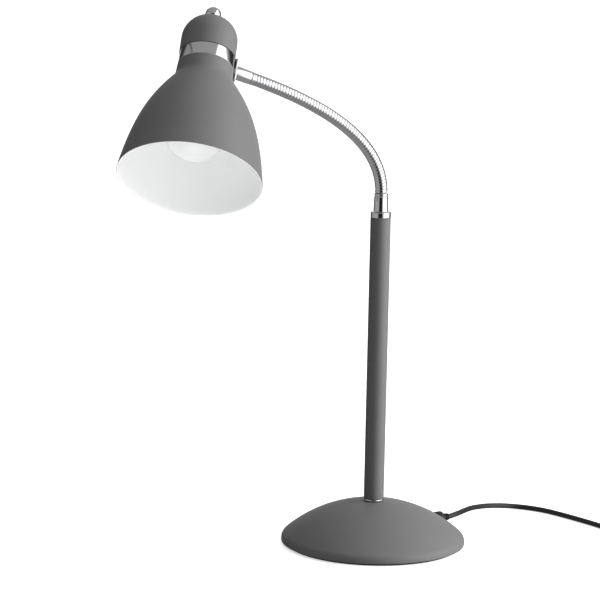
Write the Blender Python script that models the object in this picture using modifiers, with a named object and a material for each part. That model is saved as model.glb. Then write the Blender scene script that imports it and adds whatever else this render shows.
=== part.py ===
"""A desk lamp: a weighted dome, a straight post, a flexible neck and a bell shade.

Units are metres, +Z is up and the desk top is z = 0.  The post stands on the
z axis.  The neck leans out in one upright plane and carries the head, which
swivels about the neck's end.  The mains cord leaves the back of the base.
"""
import math

import bmesh
import bpy
from mathutils import Matrix, Vector

MM = 0.001
GAP = 0.3 * MM                      # clearance between pieces that touch

# Base: a spherical dome with a rounded rim, on a foam pad
BASE_RADIUS = 85.0 * MM
BASE_TOP = 41.3 * MM                # crown of the dome
RIM_ROUND = 8.0 * MM                # radius of the rounded rim
RIM_WIDEST = 4.4 * MM               # height where the rim is widest
RIM_EDGE = 2.2 * MM                 # lower edge of the sheet
BASE_WALL = 1.2 * MM
PAD_THICKNESS = 1.5 * MM
PAD_INSET = 4.5 * MM
PLATE_THICKNESS = 1.1 * MM
WEIGHT_RADIUS = BASE_RADIUS - 15.0 * MM
WEIGHT_BOTTOM = 5.0 * MM
WEIGHT_RIM_ROOM = 5.0 * MM          # between the weight's rim and the shell above it
WEIGHT_BOSS = 20.0 * MM
NUT_POCKET = 12.3 * MM              # radius of the pocket under the weight
NUT_POCKET_TOP = 20.0 * MM
SLOT_WIDTH = 8.0 * MM               # slot in the weight for the lead

# Post and its hollow screw tubes
POST_RADIUS = 9.3 * MM
POST_WALL = 1.2 * MM
POST_INSERT = 14.0 * MM             # length of the thick ends that take the tubes
POST_LENGTH = 261.0 * MM
RING_THICKNESS = 1.6 * MM
FOOT_TUBE_RADIUS = 5.0 * MM
FOOT_TUBE_BORE = 3.5 * MM
FOOT_TUBE_BOTTOM = 13.4 * MM
NUT_HEIGHT = 4.2 * MM
NUT_CORNER = 8.1 * MM
WASHER_RADIUS = 10.5 * MM
WASHER_THICKNESS = 1.2 * MM
COLLAR_HEIGHT = 5.4 * MM
NECK_TUBE_RADIUS = 4.2 * MM
NECK_TUBE_BORE = 2.6 * MM
NECK_TUBE_GRIP = 8.0 * MM           # how far it screws into the ferrule
FERRULE_FOOT_RADIUS = 6.85 * MM
FERRULE_TIP_RADIUS = 6.3 * MM
FERRULE_LENGTH = 16.4 * MM

# Flexible neck, drawn as one cubic curve in an upright plane
NECK_AZIMUTH = math.radians(199.2)  # the way it leans, turned from +X
NECK_REACH = 124.3 * MM
NECK_RISE = 104.4 * MM
NECK_FOOT_PULL = 48.0 * MM          # length of the curve's handle at the post
NECK_HEAD_PULL = 72.3 * MM          # length of the curve's handle at the head
NECK_END_SLOPE = math.radians(19.2)
NECK_RADIUS = 5.7 * MM
NECK_TURNS = [3] * 10 + [6] * 5     # turns of the coil in each link
LINK_CONE = math.radians(9.5)       # end relief, half of the largest bend

# Swivel between the neck and the head
SWIVEL_RADIUS = 3.9 * MM
SWIVEL_BORE = 2.2 * MM
SWIVEL_GRIP = 8.0 * MM
SWIVEL_NUT_CORNER = 5.6 * MM
SWIVEL_NUT_HEIGHT = 2.3 * MM
HEAD_FERRULE_LENGTH = 18.0 * MM
HEAD_FERRULE_FOOT = 6.3 * MM
HEAD_FERRULE_TIP = 5.9 * MM
BRACKET_WIDTH = 14.0 * MM
BRACKET_HEIGHT = 24.5 * MM
BRACKET_THICKNESS = 1.7 * MM
HEAD_ROLL = math.radians(-32.2)     # how far the head is turned on the swivel

# Lampholder, sized by the cap of an E27 bulb
BULB_CAP_RADIUS = 13.1 * MM
SCREW_WALL = 0.6 * MM
SCREW_CLEARANCE = 0.4 * MM
HOLDER_WALL = 2.2 * MM
HOLDER_RADIUS = BULB_CAP_RADIUS + SCREW_CLEARANCE + SCREW_WALL + GAP + HOLDER_WALL
HOLDER_BOTTOM = 14.0 * MM           # below the band's middle
HOLDER_TOP = 11.0 * MM
HOLDER_COVER_TOP = 33.0 * MM
WIRE_RADIUS = 0.8 * MM

# Head, in its own frame: +Z towards the knob, the swivel along +X
BAND_HEIGHT = 11.4 * MM
BAND_INSET = 0.4 * MM
BAND_THICKNESS = 0.7 * MM
SLEEVE_HEIGHT = 28.0 * MM
SLEEVE_THICKNESS = 0.9 * MM
# the wire runs between the holder and the swivel's nut, and the flat nut sits in the round sleeve
SWIVEL_INNER_END = HOLDER_RADIUS + 2 * WIRE_RADIUS + 2 * GAP + 0.1 * MM
SWIVEL_NUT_OUTSIDE = SWIVEL_INNER_END + 0.1 * MM + SWIVEL_NUT_HEIGHT
SLEEVE_INSIDE = math.hypot(SWIVEL_NUT_OUTSIDE + 0.4 * MM, SWIVEL_NUT_CORNER)
HEAD_RADIUS = SLEEVE_INSIDE + SLEEVE_THICKNESS + 2 * GAP + BAND_THICKNESS + BAND_INSET
HEAD_WALL = 1.0 * MM
CAP_STRAIGHT = 22.4 * MM            # height above the band's middle where the dome starts
CAP_DOME = HEAD_RADIUS - 1.8 * MM
KNOB_RADIUS = 7.2 * MM
KNOB_SINK = 3.9 * MM                # its flat base, below its middle
STUD_RADIUS = 2.2 * MM
NECK_FLARE = 0.9 * MM               # the shade's neck widens by this down to its shoulder
SHOULDER_DEPTH = 19.9 * MM          # shoulder below the band's middle
SHADE_DEPTH = 119.4 * MM            # opening below the band's middle
SHADE_RADIUS = 63.6 * MM
SHADE_SHOULDER_SLOPE = math.radians(35.8)
SHADE_SHOULDER_PULL = 32.4 * MM
SHADE_RIM_SLOPE = math.radians(8.4)
SHADE_RIM_PULL = 53.0 * MM

# Bulb
BULB_RADIUS = 27.5 * MM
BULB_MIDDLE = 70.4 * MM             # middle of the globe below the band's middle
BULB_WALL = 1.0 * MM

# Cord, its switch and its plug. Places on the desk, in millimetres, are measured from
# the point under the gland's mouth, so that the cord goes with the base's size.
CORD_RADIUS = 2.5 * MM
LEAD_RADIUS = 1.8 * MM
GLAND_AZIMUTH = math.radians(38.0)
GLAND_HEIGHT = 13.0 * MM
GLAND_STEM = 4.2 * MM
GLAND_FLANGE = 6.5 * MM
GLAND_LENGTH = 12.0 * MM            # outside the shell
GLAND_TIP = 3.3 * MM
GLAND_STEM_INSIDE = 8.0 * MM
COIL_CENTRE = (227.9, -36.3, 0.0)
COIL_INSIDE = 20.0 * MM
COIL_OUTSIDE = 35.0 * MM
COIL_BOTTOM = 1.3 * MM
COIL_HEIGHT = 13.8 * MM
TIE_THICKNESS = 0.8 * MM
TIE_WIDTH = 10.0 * MM
SWITCH_LENGTH = 62.0 * MM
SWITCH_WIDTH = 26.0 * MM
SWITCH_HEIGHT = 17.0 * MM
SWITCH_SPLIT = 8.6 * MM             # height of the joint between its halves
SWITCH_WALL = 2.0 * MM
SWITCH_CORD_HEIGHT = 6.8 * MM
ROCKER_PIVOT_HEIGHT = 10.4 * MM
ROCKER_WIDTH = 9.0 * MM
ROCKER_HALF = 6.0 * MM
ROCKER_TILT = math.radians(7.0)     # pressed to one side at rest
PLUG_LENGTH = 36.0 * MM
PLUG_WIDTH = 34.0 * MM
PLUG_THICKNESS = 13.6 * MM
PLUG_CORD_END = 9.0 * MM            # width where the cord enters
PIN_RADIUS = 2.0 * MM
PIN_LENGTH = 19.0 * MM
PIN_PITCH = 18.6 * MM

LEAD_OUT_ROUTE = [                  # from the base's gland to the switch
    (4.9, 4.3, 13.3), (11.4, 13.7, 13.4), (17.4, 25.7, 13.0), (24.4, 39.7, 12.0),
    (32.9, 54.7, 10.0), (42.9, 68.2, 7.8), (54.9, 79.2, 5.6), (68.9, 85.5, 3.7),
    (83.9, 84.2, 2.7), (98.9, 75.2, 2.5), (113.9, 59.7, 2.5), (128.9, 41.7, 2.5),
    (142.9, 23.7, 2.5), (154.9, 6.2, 2.5), (162.4, -10.8, 2.9), (165.9, -26.3, 4.6),
]
SWITCH_START = (167.5, -41.3, 0.0)
SWITCH_HEADING = math.radians(-82.0)
RUN_ROUTE = [                       # from the switch to the coil
    (178.9, -118.3, 4.6), (185.9, -132.3, 2.9), (198.9, -143.3, 2.5), (217.9, -147.3, 2.5),
    (236.9, -140.3, 2.5), (250.9, -124.3, 2.5), (258.4, -104.3, 2.6), (260.5, -82.3, 3.0),
]
RUN_END = (260.4, -55.9, 3.7)
TAIL_START = (260.4, -16.7, 9.6)
TAIL_ROUTE = [(260.6, -10.3, 8.3), (261.0, -3.3, 7.1)]
PLUG_START = (261.4, 3.7, 6.8)
PLUG_HEADING = math.radians(87.0)

UP = Vector((0, 0, 1))


# ---------------------------------------------------------------- helpers
def start_scene():
    for item in list(bpy.data.objects):
        bpy.data.objects.remove(item, do_unlink=True)
    parts = bpy.data.collections.new("desk_lamp")
    cutters = bpy.data.collections.new("cutters")
    bpy.context.scene.collection.children.link(parts)
    bpy.context.scene.collection.children.link(cutters)
    return parts, cutters


PARTS, CUTTERS = start_scene()


def finish(name, colour, roughness, metallic=0.0):
    material = bpy.data.materials.new(name)
    material.use_nodes = True
    shader = material.node_tree.nodes["Principled BSDF"]
    shader.inputs["Base Color"].default_value = (*colour, 1.0)
    shader.inputs["Roughness"].default_value = roughness
    shader.inputs["Metallic"].default_value = metallic
    return material


GREY_PAINT = ("grey_paint", (0.11, 0.11, 0.11), 0.55)
CHROME = ("chrome", (0.80, 0.80, 0.80), 0.08, 1.0)
ZINC_STEEL = ("zinc_steel", (0.55, 0.55, 0.53), 0.35, 1.0)
CAST_IRON = ("cast_iron", (0.05, 0.05, 0.05), 0.80)
BLACK_FOAM = ("black_foam", (0.02, 0.02, 0.02), 0.95)
BLACK_PLASTIC = ("black_plastic", (0.02, 0.02, 0.02), 0.45)
BRASS = ("brass", (0.70, 0.50, 0.20), 0.30, 1.0)
CERAMIC = ("ceramic", (0.80, 0.78, 0.72), 0.40)
WHITE_PLASTIC = ("white_plastic", (0.75, 0.75, 0.73), 0.45)
OPAL_GLASS = ("opal_glass", (0.90, 0.90, 0.88), 0.20)


def add(name, data, look, parent=None, matrix=None):
    """Put a mesh or curve in the scene as one named piece with its own material."""
    piece = bpy.data.objects.new(name, data)
    PARTS.objects.link(piece)
    data.materials.append(finish(name + "_" + look[0], *look[1:]))
    place(piece, parent, matrix)
    return piece


def place(item, parent=None, matrix=None):
    """Give an item its place, which is in its parent's frame when it has one."""
    item.parent = parent
    item.matrix_local = matrix or Matrix()
    bpy.context.view_layer.update()


def add_empty(name, matrix):
    empty = bpy.data.objects.new(name, None)
    PARTS.objects.link(empty)
    place(empty, None, matrix)
    return empty


def arc(centre_r, centre_z, radius, start, end, count):
    """Points (r, z) of an arc; the angles are in degrees, from the +r direction."""
    angles = [math.radians(start + (end - start) * i / count) for i in range(count + 1)]
    return [(centre_r + radius * math.cos(a), centre_z + radius * math.sin(a)) for a in angles]


def bezier(p0, p1, p2, p3, count):
    points = []
    for i in range(count + 1):
        t = i / count
        s = 1 - t
        weights = (s ** 3, 3 * s * s * t, 3 * s * t * t, t ** 3)
        corners = zip(weights, (p0, p1, p2, p3))
        parts = [(w * p[0], w * p[1]) for w, p in corners]
        points.append((sum(p[0] for p in parts), sum(p[1] for p in parts)))
    return points


def offset(outline, distance):
    """The outline moved sideways, to the inner side of a shell drawn from top to bottom."""
    moved = []
    last = len(outline) - 1
    for i, (r, z) in enumerate(outline):
        before = outline[max(i - 1, 0)]
        after = outline[min(i + 1, last)]
        along = Vector((after[0] - before[0], after[1] - before[1])).normalized()
        moved.append((r + along.y * distance, z - along.x * distance))
    return moved


def turned(name, outline, look, steps=24, parent=None, matrix=None, closed=True):
    """Spin an (r, z) outline, drawn from top to bottom on its outer side, about local Z."""
    mesh = bpy.data.meshes.new(name)
    count = len(outline)
    edges = [(i, i + 1) for i in range(count - 1)]
    if closed:
        edges.append((count - 1, 0))
    mesh.from_pydata([(r, 0, z) for r, z in outline], edges, [])
    piece = add(name, mesh, look, parent, matrix)
    screw = piece.modifiers.new("spin", "SCREW")
    screw.steps = steps
    screw.render_steps = steps
    screw.use_merge_vertices = True
    screw.merge_threshold = 0.01 * MM
    return piece


def tube_outline(outer, bore, top, bottom, edge=0.0):
    """Outline of a straight tube, its outer corners cut back by edge."""
    if edge:
        outside = [(outer - edge, top), (outer, top - edge),
                   (outer, bottom + edge), (outer - edge, bottom)]
    else:
        outside = [(outer, top), (outer, bottom)]
    return outside + [(bore, bottom), (bore, top)]


def rod_outline(radius, top, bottom):
    return [(0, top), (radius, top), (radius, bottom), (0, bottom)]


def prism(name, look, radius, top, bottom, sides, parent=None, matrix=None):
    """An upright prism with its corners at the given radius."""
    shape = bmesh.new()
    middle = Matrix.Translation((0, 0, (top + bottom) / 2))
    bmesh.ops.create_cone(shape, cap_ends=True, segments=sides, radius1=radius,
                          radius2=radius, depth=top - bottom, matrix=middle)
    mesh = bpy.data.meshes.new(name)
    shape.to_mesh(mesh)
    shape.free()
    return add(name, mesh, look, parent, matrix)


def block(name, look, size, parent=None, matrix=None, round_edge=0.0):
    """A box centred on its own origin, with its edges rounded."""
    shape = bmesh.new()
    bmesh.ops.create_cube(shape, size=1.0, matrix=Matrix.Diagonal((*size, 1)))
    mesh = bpy.data.meshes.new(name)
    shape.to_mesh(mesh)
    shape.free()
    piece = add(name, mesh, look, parent, matrix)
    if round_edge:
        bevel = piece.modifiers.new("rounded_edges", "BEVEL")
        bevel.width = round_edge
        bevel.segments = 2
    return piece


def as_cutter(piece):
    PARTS.objects.unlink(piece)
    CUTTERS.objects.link(piece)
    piece.hide_render = True
    piece.display_type = "WIRE"
    return piece


def rod_cutter(name, radius, start, end, sides=24):
    """A round cutter from one point to another, in world space."""
    along = end - start
    turn = along.to_track_quat("Z", "Y").to_matrix().to_4x4()
    matrix = Matrix.Translation(start) @ turn
    return as_cutter(prism(name, BLACK_PLASTIC, radius, along.length, 0, sides, None, matrix))


def combine(piece, other, operation="DIFFERENCE"):
    boolean = piece.modifiers.new(operation.lower(), "BOOLEAN")
    boolean.operation = operation
    boolean.solver = "EXACT"
    boolean.object = other


def smooth_path(points, spacing):
    """Evenly spaced points on a smooth curve through the given ones."""
    ends = [2 * points[0] - points[1], 2 * points[-1] - points[-2]]
    knots = [ends[0], *points, ends[1]]
    fine = [points[0]]
    for i in range(1, len(knots) - 2):
        a, b, c, d = knots[i - 1:i + 3]
        for step in range(1, 17):
            t = step / 16
            fine.append(0.5 * (2 * b + (c - a) * t + (2 * a - 5 * b + 4 * c - d) * t ** 2
                               + (3 * b - a - 3 * c + d) * t ** 3))
    lengths = [0.0]
    for before, after in zip(fine, fine[1:]):
        lengths.append(lengths[-1] + (after - before).length)
    count = max(2, round(lengths[-1] / spacing))
    return [point_at(fine, lengths, lengths[-1] * i / count) for i in range(count + 1)]


def point_at(points, lengths, distance):
    for i in range(1, len(points)):
        if lengths[i] >= distance or i == len(points) - 1:
            share = (distance - lengths[i - 1]) / (lengths[i] - lengths[i - 1])
            return points[i - 1].lerp(points[i], share)


def wire(name, look, points, radius, parent=None):
    """A round tube along the points, with filled ends."""
    curve = bpy.data.curves.new(name, "CURVE")
    curve.dimensions = "3D"
    curve.bevel_depth = radius
    curve.bevel_resolution = 2
    curve.use_fill_caps = True
    spline = curve.splines.new("POLY")
    spline.points.add(len(points) - 1)
    for target, point in zip(spline.points, points):
        target.co = (*point, 1)
    return add(name, curve, look, parent)


def flat_plate(name, look, outlines, thickness, parent=None, matrix=None):
    """A plate cut to closed outlines in its local XY plane, an inner one being a hole."""
    curve = bpy.data.curves.new(name, "CURVE")
    curve.dimensions = "2D"
    curve.fill_mode = "BOTH"
    curve.extrude = thickness / 2
    for outline in outlines:
        spline = curve.splines.new("POLY")
        spline.points.add(len(outline) - 1)
        for target, (x, y) in zip(spline.points, outline):
            target.co = (x, y, 0, 1)
        spline.use_cyclic_u = True
    drawn = bpy.data.objects.new(name + "_drawn", curve)
    PARTS.objects.link(drawn)
    bpy.context.view_layer.update()
    ready = drawn.evaluated_get(bpy.context.evaluated_depsgraph_get())
    mesh = bpy.data.meshes.new_from_object(ready)
    bpy.data.objects.remove(drawn, do_unlink=True)
    mesh.name = name
    shape = bmesh.new()
    shape.from_mesh(mesh)
    bmesh.ops.remove_doubles(shape, verts=shape.verts, dist=0.001 * MM)
    shape.to_mesh(mesh)
    shape.free()
    mesh.materials.clear()
    return add(name, mesh, look, parent, matrix)


def rounded_rectangle(width, height, radius, count=4):
    points = []
    for i, (sx, sy) in enumerate(((1, 1), (-1, 1), (-1, -1), (1, -1))):
        corner = arc(sx * (width / 2 - radius), sy * (height / 2 - radius), radius,
                     90 * i, 90 * i + 90, count)
        points += corner
    return points


def circle(radius, count=20):
    return arc(0, 0, radius, 0, 360 * (count - 1) / count, count - 1)


def heading(angle):
    return Vector((math.cos(angle), math.sin(angle), 0))


# ---------------------------------------------------------------- base
RIM_INNER = BASE_RADIUS - RIM_ROUND
CROWN_DROP = BASE_TOP - RIM_WIDEST
# the sphere that meets both the crown and the rim's rounding without a crease
DOME_RADIUS = ((RIM_INNER ** 2 + CROWN_DROP ** 2 - RIM_ROUND ** 2)
               / (2 * (CROWN_DROP - RIM_ROUND)))
DOME_MIDDLE = BASE_TOP - DOME_RADIUS
RING_BOTTOM = BASE_TOP + GAP
POST_BOTTOM = RING_BOTTOM + RING_THICKNESS + GAP
POST_TOP = POST_BOTTOM + POST_LENGTH
COLLAR_BOTTOM = POST_TOP + GAP
FERRULE_BOTTOM = COLLAR_BOTTOM + COLLAR_HEIGHT + GAP
NECK_FOOT = FERRULE_BOTTOM + FERRULE_LENGTH + GAP
PLATE_BOTTOM = PAD_THICKNESS + GAP


def dome_height(radius, inset=0.0):
    """Height of the dome, or of a sphere inside it, at a distance from the axis."""
    return DOME_MIDDLE + math.sqrt((DOME_RADIUS - inset) ** 2 - radius ** 2)


def dome_outline(inset, hole):
    """Crown to rim of the dome, moved in by inset, starting at the hole in the crown."""
    sphere = DOME_RADIUS - inset
    start = math.degrees(math.acos(hole / sphere))
    meet = math.degrees(math.atan2(RIM_WIDEST - DOME_MIDDLE, RIM_INNER))
    crown = arc(0, DOME_MIDDLE, sphere, start, meet, 6)
    rim = arc(RIM_INNER, RIM_WIDEST, RIM_ROUND - inset, meet, 0, 3)[1:]
    return crown + rim + [(BASE_RADIUS - inset, RIM_EDGE)]


def gland_direction():
    return heading(GLAND_AZIMUTH)


def gland_point(distance=0.0):
    """A point on the gland's axis, measured outwards from the dome's surface."""
    surface = math.sqrt(DOME_RADIUS ** 2 - (GLAND_HEIGHT - DOME_MIDDLE) ** 2)
    return gland_direction() * (surface + distance) + UP * GLAND_HEIGHT


def make_base():
    hole = FOOT_TUBE_RADIUS + GAP
    shell = turned("base_shell", dome_outline(0, hole) + dome_outline(BASE_WALL, hole)[::-1],
                   GREY_PAINT, 40)
    combine(shell, rod_cutter("gland_hole", GLAND_STEM + GAP, gland_point(-12 * MM),
                              gland_point(12 * MM)))
    plate_radius = BASE_RADIUS - BASE_WALL - 2 * GAP
    turned("base_plate", rod_outline(plate_radius, PLATE_BOTTOM + PLATE_THICKNESS, PLATE_BOTTOM),
           BLACK_PLASTIC, 40, closed=False)
    turned("foam_pad", rod_outline(BASE_RADIUS - PAD_INSET, PAD_THICKNESS, 0),
           BLACK_FOAM, 40, closed=False)
    make_weight()
    foot_ring_bore = FOOT_TUBE_RADIUS + GAP
    turned("foot_ring", tube_outline(POST_RADIUS, foot_ring_bore, RING_BOTTOM + RING_THICKNESS,
                                     RING_BOTTOM, 0.3 * MM), CHROME, 32)
    make_gland()


def make_weight():
    inner = BASE_WALL + 2 * GAP
    bore = FOOT_TUBE_RADIUS + GAP
    outline = [(WEIGHT_BOSS, dome_height(WEIGHT_BOSS, inner) - GAP),
               (WEIGHT_RADIUS * 0.6, dome_height(WEIGHT_RADIUS * 0.6, inner) - 6 * MM),
               (WEIGHT_RADIUS, dome_height(WEIGHT_RADIUS, inner) - WEIGHT_RIM_ROOM),
               (WEIGHT_RADIUS, WEIGHT_BOTTOM),
               (NUT_POCKET, WEIGHT_BOTTOM), (NUT_POCKET, NUT_POCKET_TOP),
               (bore, NUT_POCKET_TOP), (bore, dome_height(WEIGHT_BOSS, inner) - GAP)]
    weight = turned("base_weight", outline, CAST_IRON, 32)
    reach = WEIGHT_RADIUS + 5 * MM
    height = NUT_POCKET_TOP - WEIGHT_BOTTOM - 2 * MM
    middle = gland_direction() * reach / 2 + UP * (WEIGHT_BOTTOM + height / 2 - 1 * MM)
    matrix = Matrix.Translation(middle) @ Matrix.Rotation(GLAND_AZIMUTH, 4, "Z")
    slot = block("lead_slot", CAST_IRON, (reach, SLOT_WIDTH, height), None, matrix)
    combine(weight, as_cutter(slot))


def make_gland():
    """A bush moulded on the cord: a stem through the shell, a flange and a tapered boot."""
    turn = gland_direction().to_track_quat("Z", "Y").to_matrix().to_4x4()
    matrix = Matrix.Translation(gland_point()) @ turn
    flange = [(0, GLAND_LENGTH), (GLAND_TIP, GLAND_LENGTH), (GLAND_STEM, 5.2 * MM),
              (GLAND_FLANGE - 1 * MM, 4.6 * MM), (GLAND_FLANGE, 3.4 * MM),
              (GLAND_FLANGE, -7 * MM), (0, -7 * MM)]
    gland = turned("cord_gland", flange, BLACK_PLASTIC, 20, None, matrix, False)
    shape = bmesh.new()
    bmesh.ops.create_uvsphere(shape, u_segments=96, v_segments=64, radius=DOME_RADIUS + 2 * GAP,
                              matrix=Matrix.Translation((0, 0, DOME_MIDDLE)))
    mesh = bpy.data.meshes.new("dome_space")
    shape.to_mesh(mesh)
    shape.free()
    combine(gland, as_cutter(add("dome_space", mesh, BLACK_PLASTIC)))
    stem = turned("gland_stem", rod_outline(GLAND_STEM, 4 * MM, -GLAND_STEM_INSIDE), BLACK_PLASTIC,
                  20, None, matrix, False)
    combine(gland, as_cutter(stem), "UNION")


# ---------------------------------------------------------------- post
def make_post():
    hollow = POST_RADIUS - POST_WALL
    foot_bore = FOOT_TUBE_RADIUS + GAP
    head_bore = NECK_TUBE_RADIUS + GAP
    outline = [(POST_RADIUS, POST_TOP), (POST_RADIUS, POST_BOTTOM), (foot_bore, POST_BOTTOM),
               (foot_bore, POST_BOTTOM + POST_INSERT), (hollow, POST_BOTTOM + POST_INSERT),
               (hollow, POST_TOP - POST_INSERT), (head_bore, POST_TOP - POST_INSERT),
               (head_bore, POST_TOP)]
    turned("post", outline, GREY_PAINT, 32)
    foot_tube_top = POST_BOTTOM + POST_INSERT - GAP
    turned("foot_tube", tube_outline(FOOT_TUBE_RADIUS, FOOT_TUBE_BORE, foot_tube_top,
                                     FOOT_TUBE_BOTTOM), ZINC_STEEL, 20)
    washer_top = NUT_POCKET_TOP - GAP
    washer_bottom = washer_top - WASHER_THICKNESS
    turned("foot_washer", tube_outline(WASHER_RADIUS, FOOT_TUBE_RADIUS + GAP, washer_top,
                                       washer_bottom), ZINC_STEEL, 24)
    nut_top = washer_bottom - GAP
    nut = prism("foot_nut", ZINC_STEEL, NUT_CORNER, nut_top, nut_top - NUT_HEIGHT, 6)
    combine(nut, rod_cutter("foot_nut_bore", FOOT_TUBE_RADIUS + GAP, UP * (nut_top - 9 * MM),
                            UP * (nut_top + 3 * MM), 20))
    collar_top = COLLAR_BOTTOM + COLLAR_HEIGHT
    turned("post_collar", tube_outline(POST_RADIUS + 0.05 * MM, head_bore, collar_top,
                                       COLLAR_BOTTOM, 0.7 * MM), CHROME, 32)
    grip_top = FERRULE_BOTTOM + NECK_TUBE_GRIP
    turned("neck_tube", tube_outline(NECK_TUBE_RADIUS, NECK_TUBE_BORE, grip_top - GAP,
                                     POST_TOP - POST_INSERT + GAP), ZINC_STEEL, 20)
    lead_bore = NECK_TUBE_BORE
    ferrule_top = FERRULE_BOTTOM + FERRULE_LENGTH
    ferrule = [(FERRULE_TIP_RADIUS - 0.4 * MM, ferrule_top),
               (FERRULE_TIP_RADIUS, ferrule_top - 0.8 * MM),
               (FERRULE_FOOT_RADIUS, FERRULE_BOTTOM), (head_bore, FERRULE_BOTTOM),
               (head_bore, grip_top), (lead_bore, grip_top), (lead_bore, ferrule_top)]
    turned("lower_ferrule", ferrule, CHROME, 24)
    make_inner_lead()


def make_inner_lead():
    """The supply lead inside: from the gland, under the weight, up through the post."""
    outward = gland_direction()
    start = gland_point(-GLAND_STEM_INSIDE - GAP)
    low = PLATE_BOTTOM + PLATE_THICKNESS + LEAD_RADIUS + 2 * GAP
    points = [start - outward * 2 * MM, outward * WEIGHT_RADIUS * 0.86 + UP * 11.0 * MM,
              outward * WEIGHT_RADIUS * 0.63 + UP * (low + 1 * MM),
              outward * WEIGHT_RADIUS * 0.4 + UP * low, outward * 12 * MM + UP * low,
              outward * 5.5 * MM + UP * (low + 0.8 * MM), outward * 1.6 * MM + UP * (low + 4 * MM),
              UP * (FOOT_TUBE_BOTTOM - 0.5 * MM), UP * (FOOT_TUBE_BOTTOM + 8 * MM)]
    top = NECK_FOOT - 4 * GAP
    wire("inner_lead", BLACK_PLASTIC, [start, *smooth_path(points, 2.5 * MM), UP * top],
         LEAD_RADIUS)


# ---------------------------------------------------------------- flexible neck
LEAN = heading(NECK_AZIMUTH)
SIDE = LEAN.cross(UP)               # square to the neck's plane


def neck_point(reach, height):
    return LEAN * reach + UP * (NECK_FOOT + height)


def neck_stations():
    """The neck's foot, the joints between its links, and its end."""
    foot_handle = (0, NECK_FOOT_PULL)
    head_handle = (NECK_REACH - NECK_HEAD_PULL * math.cos(NECK_END_SLOPE),
                   NECK_RISE - NECK_HEAD_PULL * math.sin(NECK_END_SLOPE))
    drawn = bezier((0, 0), foot_handle, head_handle, (NECK_REACH, NECK_RISE), 300)
    points = [neck_point(*p) for p in drawn]
    lengths = [0.0]
    for before, after in zip(points, points[1:]):
        lengths.append(lengths[-1] + (after - before).length)
    pitch = lengths[-1] / sum(NECK_TURNS)
    turns = [sum(NECK_TURNS[:i]) for i in range(len(NECK_TURNS) + 1)]
    return [point_at(points, lengths, pitch * turn) for turn in turns]


def make_neck():
    """Rigid links whose cone ends leave room for the bend at each joint."""
    stations = neck_stations()
    relief = NECK_RADIUS * math.tan(LINK_CONE)
    for number, (start, end) in enumerate(zip(stations, stations[1:]), 1):
        length = (end - start).length
        outline = [(0, length - GAP / 2), (NECK_RADIUS, length - GAP / 2 - relief),
                   (NECK_RADIUS, GAP / 2 + relief), (0, GAP / 2)]
        along = (end - start).normalized()
        matrix = frame(start, along, SIDE)
        turned(f"neck_link_{number:02d}", outline, CHROME, 16, None, matrix, False)


def frame(origin, z_axis, y_axis):
    """A placement with the given z axis, and y as near to y_axis as it can be."""
    x_axis = y_axis.cross(z_axis).normalized()
    turn = Matrix((x_axis, z_axis.cross(x_axis), z_axis)).transposed()
    return Matrix.Translation(origin) @ turn.to_4x4()


# ---------------------------------------------------------------- swivel
NECK_END_DIRECTION = LEAN * math.cos(NECK_END_SLOPE) + UP * math.sin(NECK_END_SLOPE)
BRACKET_INSIDE = HEAD_RADIUS + NECK_FLARE * 0.5 + GAP
BRACKET_OUTSIDE = BRACKET_INSIDE + BRACKET_THICKNESS
HEAD_OFFSET = BRACKET_OUTSIDE + GAP + HEAD_FERRULE_LENGTH + GAP
HEAD_ORIGIN = neck_point(NECK_REACH, NECK_RISE) + NECK_END_DIRECTION * HEAD_OFFSET
HANGING = LEAN * math.sin(NECK_END_SLOPE) - UP * math.cos(NECK_END_SLOPE)
OPENING_DIRECTION = HANGING * math.cos(HEAD_ROLL) + SIDE * math.sin(HEAD_ROLL)
# the head's frame has +Z towards the knob and +X along the swivel, back to the neck
HEAD_Z = -OPENING_DIRECTION
HEAD_X = -NECK_END_DIRECTION
HEAD = frame(HEAD_ORIGIN, HEAD_Z, HEAD_Z.cross(HEAD_X))


def make_swivel():
    """The neck's end: its ferrule and the hollow tube and nut that the head turns on."""
    axis = HEAD @ Matrix.Rotation(math.radians(90), 4, "Y")   # local Z along the swivel
    end = add_empty("neck_end", axis)
    foot = BRACKET_OUTSIDE + GAP
    tip = foot + HEAD_FERRULE_LENGTH
    grip = foot + SWIVEL_GRIP
    bore = SWIVEL_RADIUS + GAP
    outline = [(HEAD_FERRULE_TIP - 0.4 * MM, tip), (HEAD_FERRULE_TIP, tip - 0.8 * MM),
               (HEAD_FERRULE_FOOT, foot), (bore, foot), (bore, grip), (SWIVEL_BORE, grip),
               (SWIVEL_BORE, tip)]
    turned("upper_ferrule", outline, CHROME, 24, end)
    turned("swivel_tube", tube_outline(SWIVEL_RADIUS, SWIVEL_BORE, grip - GAP,
                                       SWIVEL_INNER_END), ZINC_STEEL, 20, end)
    nut = prism("swivel_nut", ZINC_STEEL, SWIVEL_NUT_CORNER, SWIVEL_NUT_OUTSIDE,
                SWIVEL_NUT_OUTSIDE - SWIVEL_NUT_HEIGHT, 6, end)
    combine(nut, swivel_cutter("swivel_nut_bore", 0, 40 * MM))


def swivel_cutter(name, start, end):
    along = HEAD_X
    return rod_cutter(name, SWIVEL_RADIUS + GAP, HEAD_ORIGIN + along * start,
                      HEAD_ORIGIN + along * end, 24)


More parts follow.
